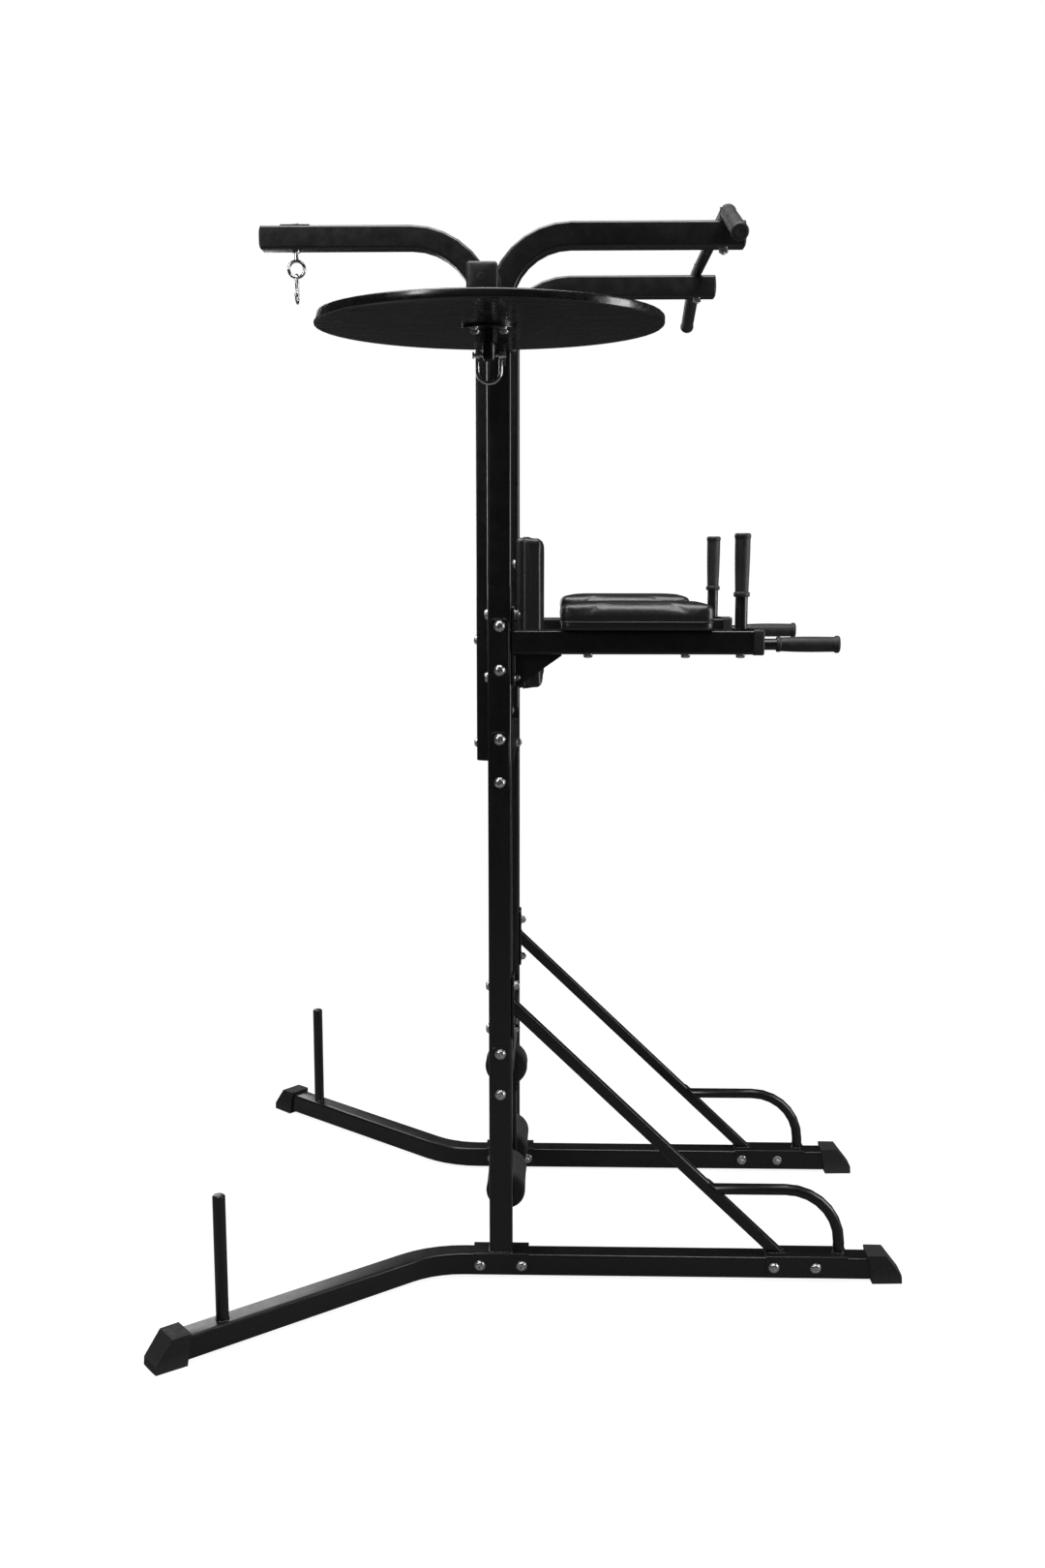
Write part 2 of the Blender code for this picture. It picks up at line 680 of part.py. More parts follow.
def build_bag_arm():
    """The long bent tube that carries the heavy bag."""
    bottom = Vector((BAG_X, 0.0, BAG_BOTTOM_Z))
    corner = Vector((BAG_X, 0.0, BAG_ARM_Z))
    end = Vector((BAG_END_X, 0.0, BAG_ARM_Z))
    arm = sweep(route([bottom, corner, end], BAG_BEND_R), Y, square())
    inner = [bottom - Z * 0.01, corner, end - X * 0.01]
    bore = square(TUBE - 2 * WALL, TUBE_CORNER - WALL)
    hole = Vector((EYE_X, 0.0, BAG_ARM_Z))
    cut(arm, sweep(route(inner, BAG_BEND_R), Y, bore))
    cut(arm, bar(hole - Z * 0.04, hole + Z * 0.04, circle(0.0048, BOLT_SIDES)))
    finish(arm, "bag_arm", "black_paint")


def build_eye_bolt():
    """The eye bolt through the bag arm, with its plate and nut on top."""
    under = BAG_ARM_Z - HALF
    over = BAG_ARM_Z + HALF + GAP
    top = Vector((EYE_X, 0.0, over))
    ring = torus(Vector((EYE_X, 0.0, EYE_RING_Z)), Y, EYE_RING_R, EYE_WIRE_R)
    neck_low = Vector((EYE_X, 0.0, EYE_RING_Z + EYE_RING_R))
    shank = bar(neck_low, top + Z * 0.010, circle(0.004, BOLT_SIDES))
    collar = bar(Vector((EYE_X, 0.0, under - GAP - 0.004)), Vector((EYE_X, 0.0, under - GAP)), circle(0.009))
    cover = plate(rounded_rectangle(0.036, 0.066, 0.006), top, 0.003, Z, X)
    nut = bar(top + Z * 0.002, top + Z * 0.008, circle(0.0075, 6))
    weld(ring, shank, collar, cover, nut)
    finish(ring, "eye_bolt", "chrome")


def hook_corners():
    """Centres of the hook's two half turns."""
    high = Vector((EYE_X, 0.0, HOOK_TOP_Z - HOOK_HALF_WIDTH))
    low = Vector((EYE_X, 0.0, HOOK_BOTTOM_Z + HOOK_HALF_WIDTH))
    return high, low


def build_snap_hook():
    """An oval spring hook in the plane across the bag arm, hung on the eye and open at the gate."""
    high, low = hook_corners()
    path = []
    path.append((Vector((EYE_X, -HOOK_HALF_WIDTH, GATE_HIGH_Z)), Z))
    for step in range(HOOK_STEPS + 1):
        angle = math.pi * step / HOOK_STEPS
        place = high + Y * -math.cos(angle) * HOOK_HALF_WIDTH + Z * math.sin(angle) * HOOK_HALF_WIDTH
        path.append((place, Y * math.sin(angle) + Z * math.cos(angle)))
    for step in range(HOOK_STEPS + 1):
        angle = math.pi * step / HOOK_STEPS
        place = low + Y * math.cos(angle) * HOOK_HALF_WIDTH - Z * math.sin(angle) * HOOK_HALF_WIDTH
        path.append((place, Y * -math.sin(angle) - Z * math.cos(angle)))
    path.append((Vector((EYE_X, -HOOK_HALF_WIDTH, GATE_LOW_Z - 0.0015)), Z))
    hook = sweep(path, X, circle(HOOK_WIRE_R, 8))
    pivot = Vector((EYE_X, 0.0, EYE_RING_Z - EYE_RING_R))
    finish(hook, "snap_hook", "chrome", pivot)


def build_hook_gate():
    """The hook's spring gate, which swings inwards about its lower end."""
    low = Vector((EYE_X, -HOOK_HALF_WIDTH, GATE_LOW_Z))
    length = GATE_HIGH_Z - GATE_LOW_Z - 0.0006
    profile = [
        (0, 0),
        (GATE_R * 0.7, 0),
        (GATE_R, GATE_R * 0.7),
        (GATE_R, length - GATE_R * 0.7),
        (GATE_R * 0.7, length),
        (0, length),
    ]
    gate = turned(profile, low, Z, 8)
    finish(gate, "hook_gate", "chrome", low + Z * GATE_R)


# ---------------------------------------------------------------- pull-up bar


def bar_end(side, length):
    """A point on the dropped end of the pull-up bar, at a distance from its elbow."""
    outward = Vector((0.0, side * math.cos(BAR_DROP), -math.sin(BAR_DROP)))
    elbow = Vector((BAR_X, side * BAR_ELBOW_Y, ARM_Z + HALF + GAP + BAR_R))
    return elbow + outward * length, outward


def build_pull_up_bar():
    """The round bar across both arms, with dropped ends."""
    points = [
        bar_end(-1, BAR_OUTER_LENGTH)[0],
        bar_end(-1, 0)[0],
        bar_end(1, 0)[0],
        bar_end(1, BAR_OUTER_LENGTH)[0],
    ]
    rod = sweep(route(points, BAR_BEND_R, 3), X, circle(BAR_R))
    ends = [bar_end(-1, BAR_OUTER_LENGTH + 0.01)[0], bar_end(1, BAR_OUTER_LENGTH + 0.01)[0]]
    inner = [ends[0], points[1], points[2], ends[1]]
    cut(rod, sweep(route(inner, BAR_BEND_R, 3), X, circle(BAR_R - BAR_WALL)))
    finish(rod, "pull_up_bar", "black_paint")


def build_grip(name, start, outward, length, tube_radius, collar):
    """A closed rubber grip pushed over a handle, with a collar at its open end."""
    bore = tube_radius + GRIP_CLEARANCE
    wide = GRIP_R + collar
    depth = length - GRIP_END
    profile = [
        (bore, 0.0),
        (wide, 0.0),
        (wide, 0.004),
        (GRIP_R, 0.006),
        (GRIP_R, length - 0.003),
        (GRIP_R - 0.004, length),
        (0, length),
        (0, depth),
        (bore, depth),
    ]
    grip = turned(profile, start, outward, closed=True)
    finish(grip, name, "rubber")


# ---------------------------------------------------------------- speed-ball platform


def build_platform_arm():
    """The tube that holds the board, welded to a saddle around the near upright."""
    front = -POST_Y - HALF - GAP - SADDLE_WEB
    start = Vector((0.0, front, PLATFORM_ARM_Z - SADDLE_HALF_HEIGHT))
    profile = [(u, v) for u, v in channel(HALF + GAP + SADDLE_WEB, SADDLE_REACH, SADDLE_WEB)]
    arm = bar(start, start + Z * 2 * SADDLE_HALF_HEIGHT, profile, -Y)
    near = Vector((0.0, front + SADDLE_WEB / 2, PLATFORM_ARM_Z))
    end = Vector((0.0, PLATFORM_ARM_END_Y, PLATFORM_ARM_Z))
    weld(arm, bar(near, end, square(), Z))
    bore = square(TUBE - 2 * WALL, TUBE_CORNER - WALL)
    cut(arm, bar(Vector((0.0, front - 0.002, PLATFORM_ARM_Z)), end - Y * 0.01, bore, Z))
    finish(arm, "platform_arm", "black_paint")


def build_platform_board():
    """The round board that the speed ball rebounds from."""
    edge = 0.0025
    profile = [
        (0, 0),
        (BOARD_R - edge, 0),
        (BOARD_R, edge),
        (BOARD_R, BOARD_THICKNESS - edge),
        (BOARD_R - edge, BOARD_THICKNESS),
        (0, BOARD_THICKNESS),
    ]
    board = turned(profile, Vector((0.0, PLATFORM_Y, BOARD_BOTTOM_Z)), Z, 56)
    finish(board, "platform_board", "board")


def build_swivel():
    """The flange on the board and the swivel that turns in its boss."""
    top = Vector((0.0, PLATFORM_Y, BOARD_BOTTOM_Z - GAP))
    flange = turned([(0, 0), (FLANGE_R, 0), (FLANGE_R, -FLANGE_THICKNESS), (0, -FLANGE_THICKNESS)], top, Z, 20)
    boss = bar(top - Z * 0.002, top - Z * BOSS_DEPTH, circle(BOSS_R, 6))
    weld(flange, boss)
    cut(flange, bar(top + Z * 0.01, top - Z * (BOSS_DEPTH + 0.01), circle(SWIVEL_BORE_R)))
    cut(flange, bar(top + Z * 0.01, top - Z * SWIVEL_POCKET_DEPTH, circle(SWIVEL_POCKET_R)))
    finish(flange, "swivel_flange", "black_paint")
    head_low = -SWIVEL_POCKET_DEPTH + GAP
    head_high = -GAP * 3
    block_top = -BOSS_DEPTH - GAP * 2
    pin_drop = SHACKLE_PIN_Z - top.z
    profile = [
        (0, head_high),
        (SWIVEL_HEAD_R, head_high),
        (SWIVEL_HEAD_R, head_low),
        (SWIVEL_SHAFT_R, head_low),
        (SWIVEL_SHAFT_R, block_top),
        (0.0105, block_top),
        (0.0115, block_top - 0.004),
        (0.0115, pin_drop - 0.004),
        (0.0085, pin_drop - 0.0095),
        (0, pin_drop - 0.0095),
    ]
    swivel = turned(profile, top, Z)
    pin_centre = Vector((0.0, PLATFORM_Y, SHACKLE_PIN_Z))
    cut(swivel, bar(pin_centre - X * 0.03, pin_centre + X * 0.03, circle(EYE_HOLE_R)))
    finish(swivel, "swivel_body", "black_paint", top)


def build_shackle():
    """The pin through the swivel, with its wing nut, and the bow that hangs on it."""
    centre = Vector((0.0, PLATFORM_Y, SHACKLE_PIN_Z))
    pin = bar(centre - X * PIN_HALF_LENGTH, centre + X * PIN_HALF_LENGTH, circle(PIN_R))
    head = bar(centre - X * PIN_HALF_LENGTH, centre - X * (PIN_HALF_LENGTH - 0.003), circle(0.0058))
    hub = bar(centre + X * 0.0245, centre + X * (PIN_HALF_LENGTH + 0.001), circle(0.0055, 8))
    wing_outline = [
        (-0.0040, -0.0170),
        (0.0025, -0.0180),
        (0.0030, -0.0060),
        (0.0030, 0.0060),
        (0.0025, 0.0180),
        (-0.0040, 0.0170),
        (-0.0030, 0.0060),
        (-0.0030, -0.0060),
    ]
    wings = plate([(-u, v) for u, v in wing_outline], centre + X * 0.0255, 0.003, X, Z)
    weld(pin, head, hub, wings)
    finish(pin, "shackle_pin", "zinc", centre)
    legs = []
    path = []
    bow = Vector((0.0, PLATFORM_Y, SHACKLE_BOW_Z))
    path.append((centre - X * SHACKLE_HALF_WIDTH, -Z))
    for step in range(BOW_STEPS + 1):
        angle = math.pi * step / BOW_STEPS
        place = bow - X * math.cos(angle) * SHACKLE_HALF_WIDTH - Z * math.sin(angle) * SHACKLE_HALF_WIDTH
        path.append((place, X * math.sin(angle) - Z * math.cos(angle)))
    path.append((centre + X * SHACKLE_HALF_WIDTH, Z))
    shackle = sweep(path, Y, circle(SHACKLE_WIRE_R, 8))
    for sign in (-1, 1):
        middle = centre + X * sign * SHACKLE_HALF_WIDTH
        legs.append(bar(middle - X * SHACKLE_WIRE_R, middle + X * SHACKLE_WIRE_R, circle(0.0070)))
    weld(shackle, *legs)
    cut(shackle, bar(centre - X * 0.04, centre + X * 0.04, circle(EYE_HOLE_R)))
    finish(shackle, "shackle", "chrome", centre)


# ---------------------------------------------------------------- dip arms


def build_dip_arm(word, side):
    """A dip arm with the plate that bolts to the upright and its gusset."""
    y = side * POST_Y
    face = HALF + GAP
    low_z, high_z = DIP_PLATE_Z
    outline = rounded_rectangle(TUBE - 0.002, high_z - low_z, 0.008)
    arm = plate(outline, Vector((face, y, (low_z + high_z) / 2)), DIP_PLATE, X, Z)
    start = Vector((face + DIP_PLATE / 2, y, DIP_Z))
    end = Vector((DIP_END_X, y, DIP_Z))
    under = DIP_Z - HALF
    inside = face + DIP_PLATE / 2
    gusset_outline = [
        (-(inside), under + 0.001),
        (-GUSSET_X, under + 0.001),
        (-GUSSET_X, under - 0.004),
        (-(inside + 0.012), low_z + 0.003),
        (-(inside), low_z + 0.003),
    ]
    gusset = plate(gusset_outline, Vector((0.0, y - GUSSET / 2, 0.0)), GUSSET, Y, Z)
    weld(arm, bar(start, end, square(), Z), gusset)
    bore = square(TUBE - 2 * WALL, TUBE_CORNER - WALL)
    cut(arm, bar(start + X * 0.006, end + X * 0.01, bore, Z))
    finish(arm, f"dip_arm_{word}", "black_paint")


def build_forward_handle(word, side):
    """The end plug of a dip arm with the forward handle welded to it."""
    y = side * POST_Y
    end = Vector((DIP_END_X + GAP, y, DIP_Z))
    handle = bar(end, end + X * 0.005, square(), Z)
    stem = bar(end - X * 0.016, end + X * 0.001, square(INSERT, 0.004), Z)
    shaft_start = Vector((DIP_END_X + 0.004, y, FORWARD_Z))
    shaft_end = Vector((FORWARD_END_X, y, FORWARD_Z))
    weld(handle, stem, bar(shaft_start, shaft_end, circle(FORWARD_R)))
    bore = circle(FORWARD_R - TUBE_HANDLE_WALL)
    cut(handle, bar(shaft_start + X * 0.006, shaft_end + X * 0.01, bore))
    finish(handle, f"forward_handle_{word}", "black_paint")
    start_x, end_x = FORWARD_GRIP_X
    grip_start = Vector((start_x, y, FORWARD_Z))
    build_grip(f"forward_grip_{word}", grip_start, X, end_x - start_x, FORWARD_R, 0.0008)


def build_vertical_handle(word, side):
    """The upright handle on a dip arm, with its foot plate and grip."""
    y = side * POST_Y
    foot = Vector((HANDLE_X, y, DIP_Z + HALF + GAP))
    top = Vector((HANDLE_X, y, HANDLE_TOP_Z))
    handle = plate(rounded_rectangle(0.044, 0.044, 0.006), foot, HANDLE_FOOT, Z, X)
    weld(handle, bar(foot + Z * 0.001, top, circle(HANDLE_R)))
    cut(handle, bar(foot - Z * 0.01, top + Z * 0.01, circle(HANDLE_R - TUBE_HANDLE_WALL)))
    finish(handle, f"vertical_handle_{word}", "black_paint")
    low_z, high_z = HANDLE_GRIP_Z
    grip_start = Vector((HANDLE_X, y, low_z))
    build_grip(f"vertical_grip_{word}", grip_start, Z, high_z - low_z, HANDLE_R, 0.0012)


# ---------------------------------------------------------------- pads


def build_pad(name, centre, size):
    """A plain rounded block with a pad's outer size."""
    bm = bmesh.new()
    bmesh.ops.create_cube(bm, size=1.0, matrix=Matrix.Diagonal((*size, 1.0)))
    bmesh.ops.bevel(bm, geom=bm.edges[:], offset=PAD_ROUNDING, segments=3, affect="EDGES")
    bmesh.ops.translate(bm, verts=bm.verts, vec=centre)
    finish(blank(bm), name, "vinyl")


# ---------------------------------------------------------------- leg hold


def build_leg_hold_post():
    """The fork, post and cross axle of the leg hold, welded together."""
    under_beam = SPLICE_LOW_Z - HALF - GAP
    half = HOLD_TUBE / 2
    fork_half = FORK_HALF_GAP + FORK_PLATE
    low_x = HOLD_X - half
    high_x = HOLD_X + half
    hold = box((low_x, -fork_half, under_beam - FORK_PLATE), (high_x, fork_half, under_beam))
    base_top = FORK_BASE_Z + FORK_PLATE
    base = box((low_x - 0.001, -fork_half, FORK_BASE_Z), (high_x + 0.001, fork_half, base_top))
    for side in SIDES.values():
        inner = side * FORK_HALF_GAP
        outer = side * (fork_half - 0.0005)
        low = (low_x + 0.001, min(inner, outer), base_top - 0.001)
        weld(hold, box(low, (high_x - 0.001, max(inner, outer), under_beam - 0.001)))
    foot = Vector((HOLD_X, 0.0, HOLD_BOTTOM_Z))
    post_top = Vector((HOLD_X, 0.0, FORK_BASE_Z + 0.001))
    weld(hold, base, bar(foot, post_top, square(HOLD_TUBE, 0.005), X))
    bore = square(HOLD_TUBE - 2 * WALL, 0.003)
    cut(hold, bar(foot - Z * 0.01, post_top - Z * 0.003, bore, X))
    axle_centre = Vector((HOLD_X, 0.0, AXLE_Z))
    axle = bar(axle_centre - Y * AXLE_HALF_LENGTH, axle_centre + Y * AXLE_HALF_LENGTH, circle(AXLE_R))
    knee = Vector((KNEE_X, 0.0, KNEE_Z))
    knee_pin = bar(knee - Y * (fork_half + 0.006), knee + Y * (fork_half + 0.006), circle(KNEE_PIN_R))
    weld(hold, axle, knee_pin)
    finish(hold, "leg_hold_post", "black_paint")


def build_roller(name, centre, radius, half_length, bore_radius):
    """A foam roller with rounded ends, free to turn on its axle."""
    rounding = 0.006
    profile = [
        (bore_radius, -half_length),
        (radius - rounding, -half_length),
        (radius, -half_length + rounding),
        (radius, half_length - rounding),
        (radius - rounding, half_length),
        (bore_radius, half_length),
    ]
    roller = turned(profile, centre, Y, 20, closed=True)
    finish(roller, name, "foam", centre)


def build_rollers():
    """The two leg rollers on the cross axle and the knee roller in the fork."""
    near_end, far_end = LEG_ROLLER_Y
    middle = (near_end + far_end) / 2
    half = (far_end - near_end) / 2
    for word, side in SIDES.items():
        centre = Vector((HOLD_X, side * middle, AXLE_Z))
        build_roller(f"leg_roller_{word}", centre, LEG_ROLLER_R, half, LEG_ROLLER_BORE_R)
    knee = Vector((KNEE_X, 0.0, KNEE_Z))
    build_roller("knee_roller", knee, KNEE_ROLLER_R, KNEE_ROLLER_HALF, KNEE_BORE_R)


# ---------------------------------------------------------------- assembly


def build_side_frame(word, side):
    """Everything that the near and far sides both have."""
    build_base_rail(word, side)
    outward = Vector((-math.cos(SPLAY), side * math.sin(SPLAY), 0.0))
    build_foot_cap(f"foot_cap_front_{word}", Vector((RAIL_FRONT_X, side * POST_Y, 0.0)), X)
    build_foot_cap(f"foot_cap_rear_{word}", rail_place(side, SPLAY_LENGTH, 0.0), outward)
    build_lower_post(word, side)
    build_mid_post(word, side)
    build_upper_post(word, side)
    build_pull_up_arm(word, side)
    arm_end = Vector((ARM_END_X, side * POST_Y, ARM_Z))
    build_plug_cap(f"pull_up_arm_cap_{word}", arm_end, X, 0.007)
    build_brace_frame(word, side)
    build_dip_arm(word, side)
    build_forward_handle(word, side)
    build_vertical_handle(word, side)
    pad_z = DIP_Z + HALF + 2 * GAP + ARM_PAD_SIZE[2] / 2
    build_pad(f"arm_pad_{word}", Vector((ARM_PAD_CENTRE_X, side * POST_Y, pad_z)), ARM_PAD_SIZE)
    grip_start, outward = bar_end(side, BAR_OUTER_LENGTH + 0.006 - BAR_GRIP_LENGTH)
    build_grip(f"bar_grip_{word}", grip_start, outward, BAR_GRIP_LENGTH, BAR_R, 0.0005)
    for level, height in BEAM_HEIGHTS.items():
        build_cross_bolts(level, height, word, side)


def build_middle():
    """Everything that lies between the two side frames."""
    for word, height in BEAM_HEIGHTS.items():
        build_crossbeam(word, height)
    build_bag_arm()
    build_plug_cap("bag_arm_cap", Vector((BAG_END_X, 0.0, BAG_ARM_Z)), -X, 0.009)
    build_plug_cap("bag_upright_cap", Vector((BAG_X, 0.0, BAG_BOTTOM_Z)), -Z, 0.006)
    build_eye_bolt()
    build_snap_hook()
    build_hook_gate()
    build_pull_up_bar()
    build_platform_arm()
    end = Vector((0.0, PLATFORM_ARM_END_Y, PLATFORM_ARM_Z))
    build_plug_cap("platform_arm_cap", end, -Y, 0.007)
    build_platform_board()
    build_swivel()
    build_shackle()
    build_pad("back_pad", BACK_PAD_CENTRE, BACK_PAD_SIZE)
    build_leg_hold_post()
    build_rollers()


def centre_on_floor():
    """Moves the whole tower so that the origin is under the middle of its box."""
    bpy.context.view_layer.update()
    corners = []
    for part in tower.children:
        corners.extend(part.matrix_world @ vertex.co for vertex in part.data.vertices)
    middle_x = (min(corner.x for corner in corners) + max(corner.x for corner in corners)) / 2
    middle_y = (min(corner.y for corner in corners) + max(corner.y for corner in corners)) / 2
    tower.location = (-middle_x, -middle_y, 0.0)


clear_scene()
materials = {name: make_material(name) for name in MATERIALS}
tower = bpy.data.objects.new("tower", None)
bpy.context.scene.collection.objects.link(tower)
for side_word, side_sign in SIDES.items():
    build_side_frame(side_word, side_sign)
build_middle()
centre_on_floor()
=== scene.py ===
"""The visible power tower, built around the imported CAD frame.

The steel tubes and plates are the CAD nodes themselves, with a finish on them. Pads, grips, rollers, shoes,
caps, hanging fittings, bolts and weld beads are modelled here, where they need more shape than the solids
have. Lengths are in metres.
"""

import json
import math

import bmesh
import bpy
from mathutils import Matrix, Vector, noise


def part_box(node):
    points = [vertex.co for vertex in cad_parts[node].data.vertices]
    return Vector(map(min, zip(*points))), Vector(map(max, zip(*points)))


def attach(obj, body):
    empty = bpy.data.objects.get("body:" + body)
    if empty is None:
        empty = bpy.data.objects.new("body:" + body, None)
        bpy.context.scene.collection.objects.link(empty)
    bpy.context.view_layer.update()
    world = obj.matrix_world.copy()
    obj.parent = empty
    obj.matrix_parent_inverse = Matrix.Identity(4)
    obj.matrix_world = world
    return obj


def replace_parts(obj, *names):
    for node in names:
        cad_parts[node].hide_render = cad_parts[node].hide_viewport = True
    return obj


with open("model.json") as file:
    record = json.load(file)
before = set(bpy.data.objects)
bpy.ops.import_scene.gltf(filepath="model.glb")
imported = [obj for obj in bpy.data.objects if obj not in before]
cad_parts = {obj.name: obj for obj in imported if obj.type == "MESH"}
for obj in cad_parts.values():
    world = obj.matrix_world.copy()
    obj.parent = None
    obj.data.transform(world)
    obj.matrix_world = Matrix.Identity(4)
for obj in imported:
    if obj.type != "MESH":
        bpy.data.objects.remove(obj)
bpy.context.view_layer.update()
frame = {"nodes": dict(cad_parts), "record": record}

X = Vector((1.0, 0.0, 0.0))
Y = Vector((0.0, 1.0, 0.0))
Z = Vector((0.0, 0.0, 1.0))
SIDES = {"near": -1, "far": 1}

# Edges flatter than this stay smooth: on tubes and plates, on thin plates, on bolts, and on moulded pieces
SMOOTH = math.radians(50)
SMOOTH_PLATE = math.radians(30)
SMOOTH_BOLT = math.radians(38)
SMOOTH_CAP = math.radians(40)
SMOOTH_BOARD = math.radians(60)

# Camera, from the middle of the uprights
CAMERA_PLACE = Vector((0.1258, -3.4705, 1.5821))
CAMERA_PITCH = math.radians(8.62)
CAMERA_YAW = math.radians(1.42)
CAMERA_LENS = 34.8
SENSOR_WIDTH = 36.0

# Stage: floor and world look white to the camera, and light the object only a little
FLOOR_REACH = 14.0
FLOOR_DROP = 0.0005
FLOOR_GREY = 0.2
FLOOR_LIFT = (0.93, 1.0)
FLOOR_FADE = (1.5, 4.5)
AMBIENT = 0.03

# Area lights: name, place, target, width, height and power in watts
LIGHTS = [
    ("overhead", (-0.3, -0.5, 4.6), (0.0, 0.1, 0.0), 3.4, 2.2, 190.0),
    ("key", (-2.9, -3.6, 3.6), (0.0, 0.0, 1.3), 0.8, 1.6, 50.0),
    ("side", (3.5, -0.5, 1.9), (0.0, -0.1, 1.6), 1.2, 2.6, 75.0),
    ("back", (-2.4, 4.2, 2.6), (0.0, 0.0, 1.2), 2.4, 2.6, 60.0),
]


# ---- places from the frame


def low(node):
    """Lowest corner of a CAD node."""
    return Vector(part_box(node)[0])


def high(node):
    """Highest corner of a CAD node."""
    return Vector(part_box(node)[1])


def middle(node):
    """Centre of a CAD node's box."""
    return (low(node) + high(node)) / 2


POST = {word: middle(f"mid_post_{word}") for word in SIDES}
CENTRE = Vector((POST["near"].x, (POST["near"].y + POST["far"].y) / 2, 0.0))
HALF_TUBE = (high("mid_post_near").x - low("mid_post_near").x) / 2


def at(x, y, z):
    """A point given from the middle of the uprights, on the floor."""
    return CENTRE + Vector((x, y, z))


# ---- materials


class Finish:
    """A material's node tree, with short calls for the nodes that the finishes share."""

    def __init__(self, name, colour, roughness, metallic=0.0):
        self.material = bpy.data.materials.new(name)
        self.material.use_nodes = True
        self.material.diffuse_color = (*colour, 1.0)
        self.tree = self.material.node_tree
        self.shader = self.tree.nodes["Principled BSDF"]
        self.set("Base Color", (*colour, 1.0))
        self.set("Roughness", roughness)
        self.set("Metallic", metallic)
        self.place = self.tree.nodes.new("ShaderNodeTexCoord").outputs["Object"]

    def set(self, socket, value):
        """One value on the shader."""
        self.shader.inputs[socket].default_value = value

    def link(self, value, socket):
        """A node's output into the shader."""
        self.tree.links.new(value, self.shader.inputs[socket])

    def add(self, kind, inputs):
        """A node whose inputs are linked from sockets or set to values."""
        node = self.tree.nodes.new(f"ShaderNode{kind}")
        for name, value in inputs.items():
            if isinstance(value, bpy.types.NodeSocket):
                self.tree.links.new(value, node.inputs[name])
            else:
                node.inputs[name].default_value = value
        return node

    def stretched(self, scale):
        """Object coordinates stretched by a scale."""
        return self.add("Mapping", {"Vector": self.place, "Scale": scale}).outputs["Vector"]

    def drifted(self, scale, amount):
        """Object coordinates pushed about by a noise."""
        drift = self.add("TexNoise", {"Vector": self.place, "Scale": scale}).outputs["Color"]
        node = self.add("VectorMath", {0: drift, 1: (amount, amount, amount)})
        node.operation = "MULTIPLY_ADD"
        self.tree.links.new(self.place, node.inputs[2])
        return node.outputs["Vector"]

    def noise(self, scale, detail=3.0, rough=0.5, source=None):
        """A noise texture's value."""
        inputs = {"Vector": source or self.place, "Scale": scale, "Detail": detail, "Roughness": rough}
        return self.add("TexNoise", inputs).outputs["Fac"]

    def cells(self, scale, feature="DISTANCE_TO_EDGE", source=None):
        """A Voronoi texture's distance."""
        node = self.add("TexVoronoi", {"Vector": source or self.place, "Scale": scale})
        node.feature = feature
        return node.outputs["Distance"]

    def spread(self, value, from_low, from_high, to_low, to_high):
        """A value mapped from one range to another."""
        span = {"From Min": from_low, "From Max": from_high, "To Min": to_low, "To Max": to_high}
        return self.add("MapRange", {"Value": value, **span}).outputs["Result"]

    def times(self, first, second):
        """The product of two values."""
        node = self.add("Math", {0: first, 1: second})
        node.operation = "MULTIPLY"
        return node.outputs["Value"]

    def tint(self, value, first, second, span=None):
        """Base colour between two, by a value or by its place in a span."""
        share = self.spread(value, *span, 0.0, 1.0) if span else value
        node = self.tree.nodes.new("ShaderNodeMix")
        node.data_type = "RGBA"
        node.inputs["A"].default_value = (*first, 1.0)
        node.inputs["B"].default_value = (*second, 1.0)
        self.tree.links.new(share, node.inputs["Factor"])
        self.link(node.outputs["Result"], "Base Color")

    def gloss(self, value, first, second, span=(0.3, 0.7)):
        """Roughness between two, by a value's place in a span."""
        self.link(self.spread(value, *span, first, second), "Roughness")

    def bump(self, height, strength, distance, under=None):
        """A bump, on top of another if there is one."""
        inputs = {"Height": height, "Strength": strength, "Distance": distance}
        if under is not None:
            inputs["Normal"] = under
        return self.add("Bump", inputs).outputs["Normal"]


def powder_coat():
    """Satin black powder coat: faint orange peel, uneven gloss and a few dull handling marks."""
    finish = Finish("powder_coat", (0.004, 0.004, 0.0045), 0.36)
    finish.tint(finish.noise(5.0, 4.0, 0.6), (0.003, 0.003, 0.0033), (0.0065, 0.0065, 0.007), (0.3, 0.7))
    finish.gloss(finish.noise(38.0, 5.0, 0.65), 0.27, 0.4)
    finish.set("Coat Weight", 0.25)
    finish.set("Coat Roughness", 0.18)
    peel = finish.bump(finish.noise(650.0, 2.0), 0.1, 0.0006)
    finish.link(finish.bump(finish.noise(110.0, 2.0), 0.04, 0.002, peel), "Normal")
    return finish.material


def zinc():
    """Bright zinc plate with a cloudy film and fine turning marks."""
    finish = Finish("zinc_plate", (0.72, 0.73, 0.74), 0.28, 1.0)
    finish.tint(finish.noise(160.0, 4.0, 0.6), (0.62, 0.64, 0.67), (0.82, 0.81, 0.78), (0.35, 0.65))
    finish.gloss(finish.noise(420.0, 3.0), 0.2, 0.38)
    finish.link(finish.bump(finish.noise(1500.0, 2.0), 0.12, 0.0002), "Normal")
    return finish.material


def chrome():
    """Polished plate with small hazy patches."""
    finish = Finish("bright_plate", (0.6, 0.61, 0.63), 0.12, 1.0)
    finish.gloss(finish.noise(300.0, 4.0), 0.07, 0.2, (0.35, 0.7))
    finish.tint(finish.noise(90.0, 3.0), (0.54, 0.55, 0.58), (0.68, 0.68, 0.67))
    finish.link(finish.bump(finish.noise(900.0, 2.0), 0.05, 0.0002), "Normal")
    return finish.material


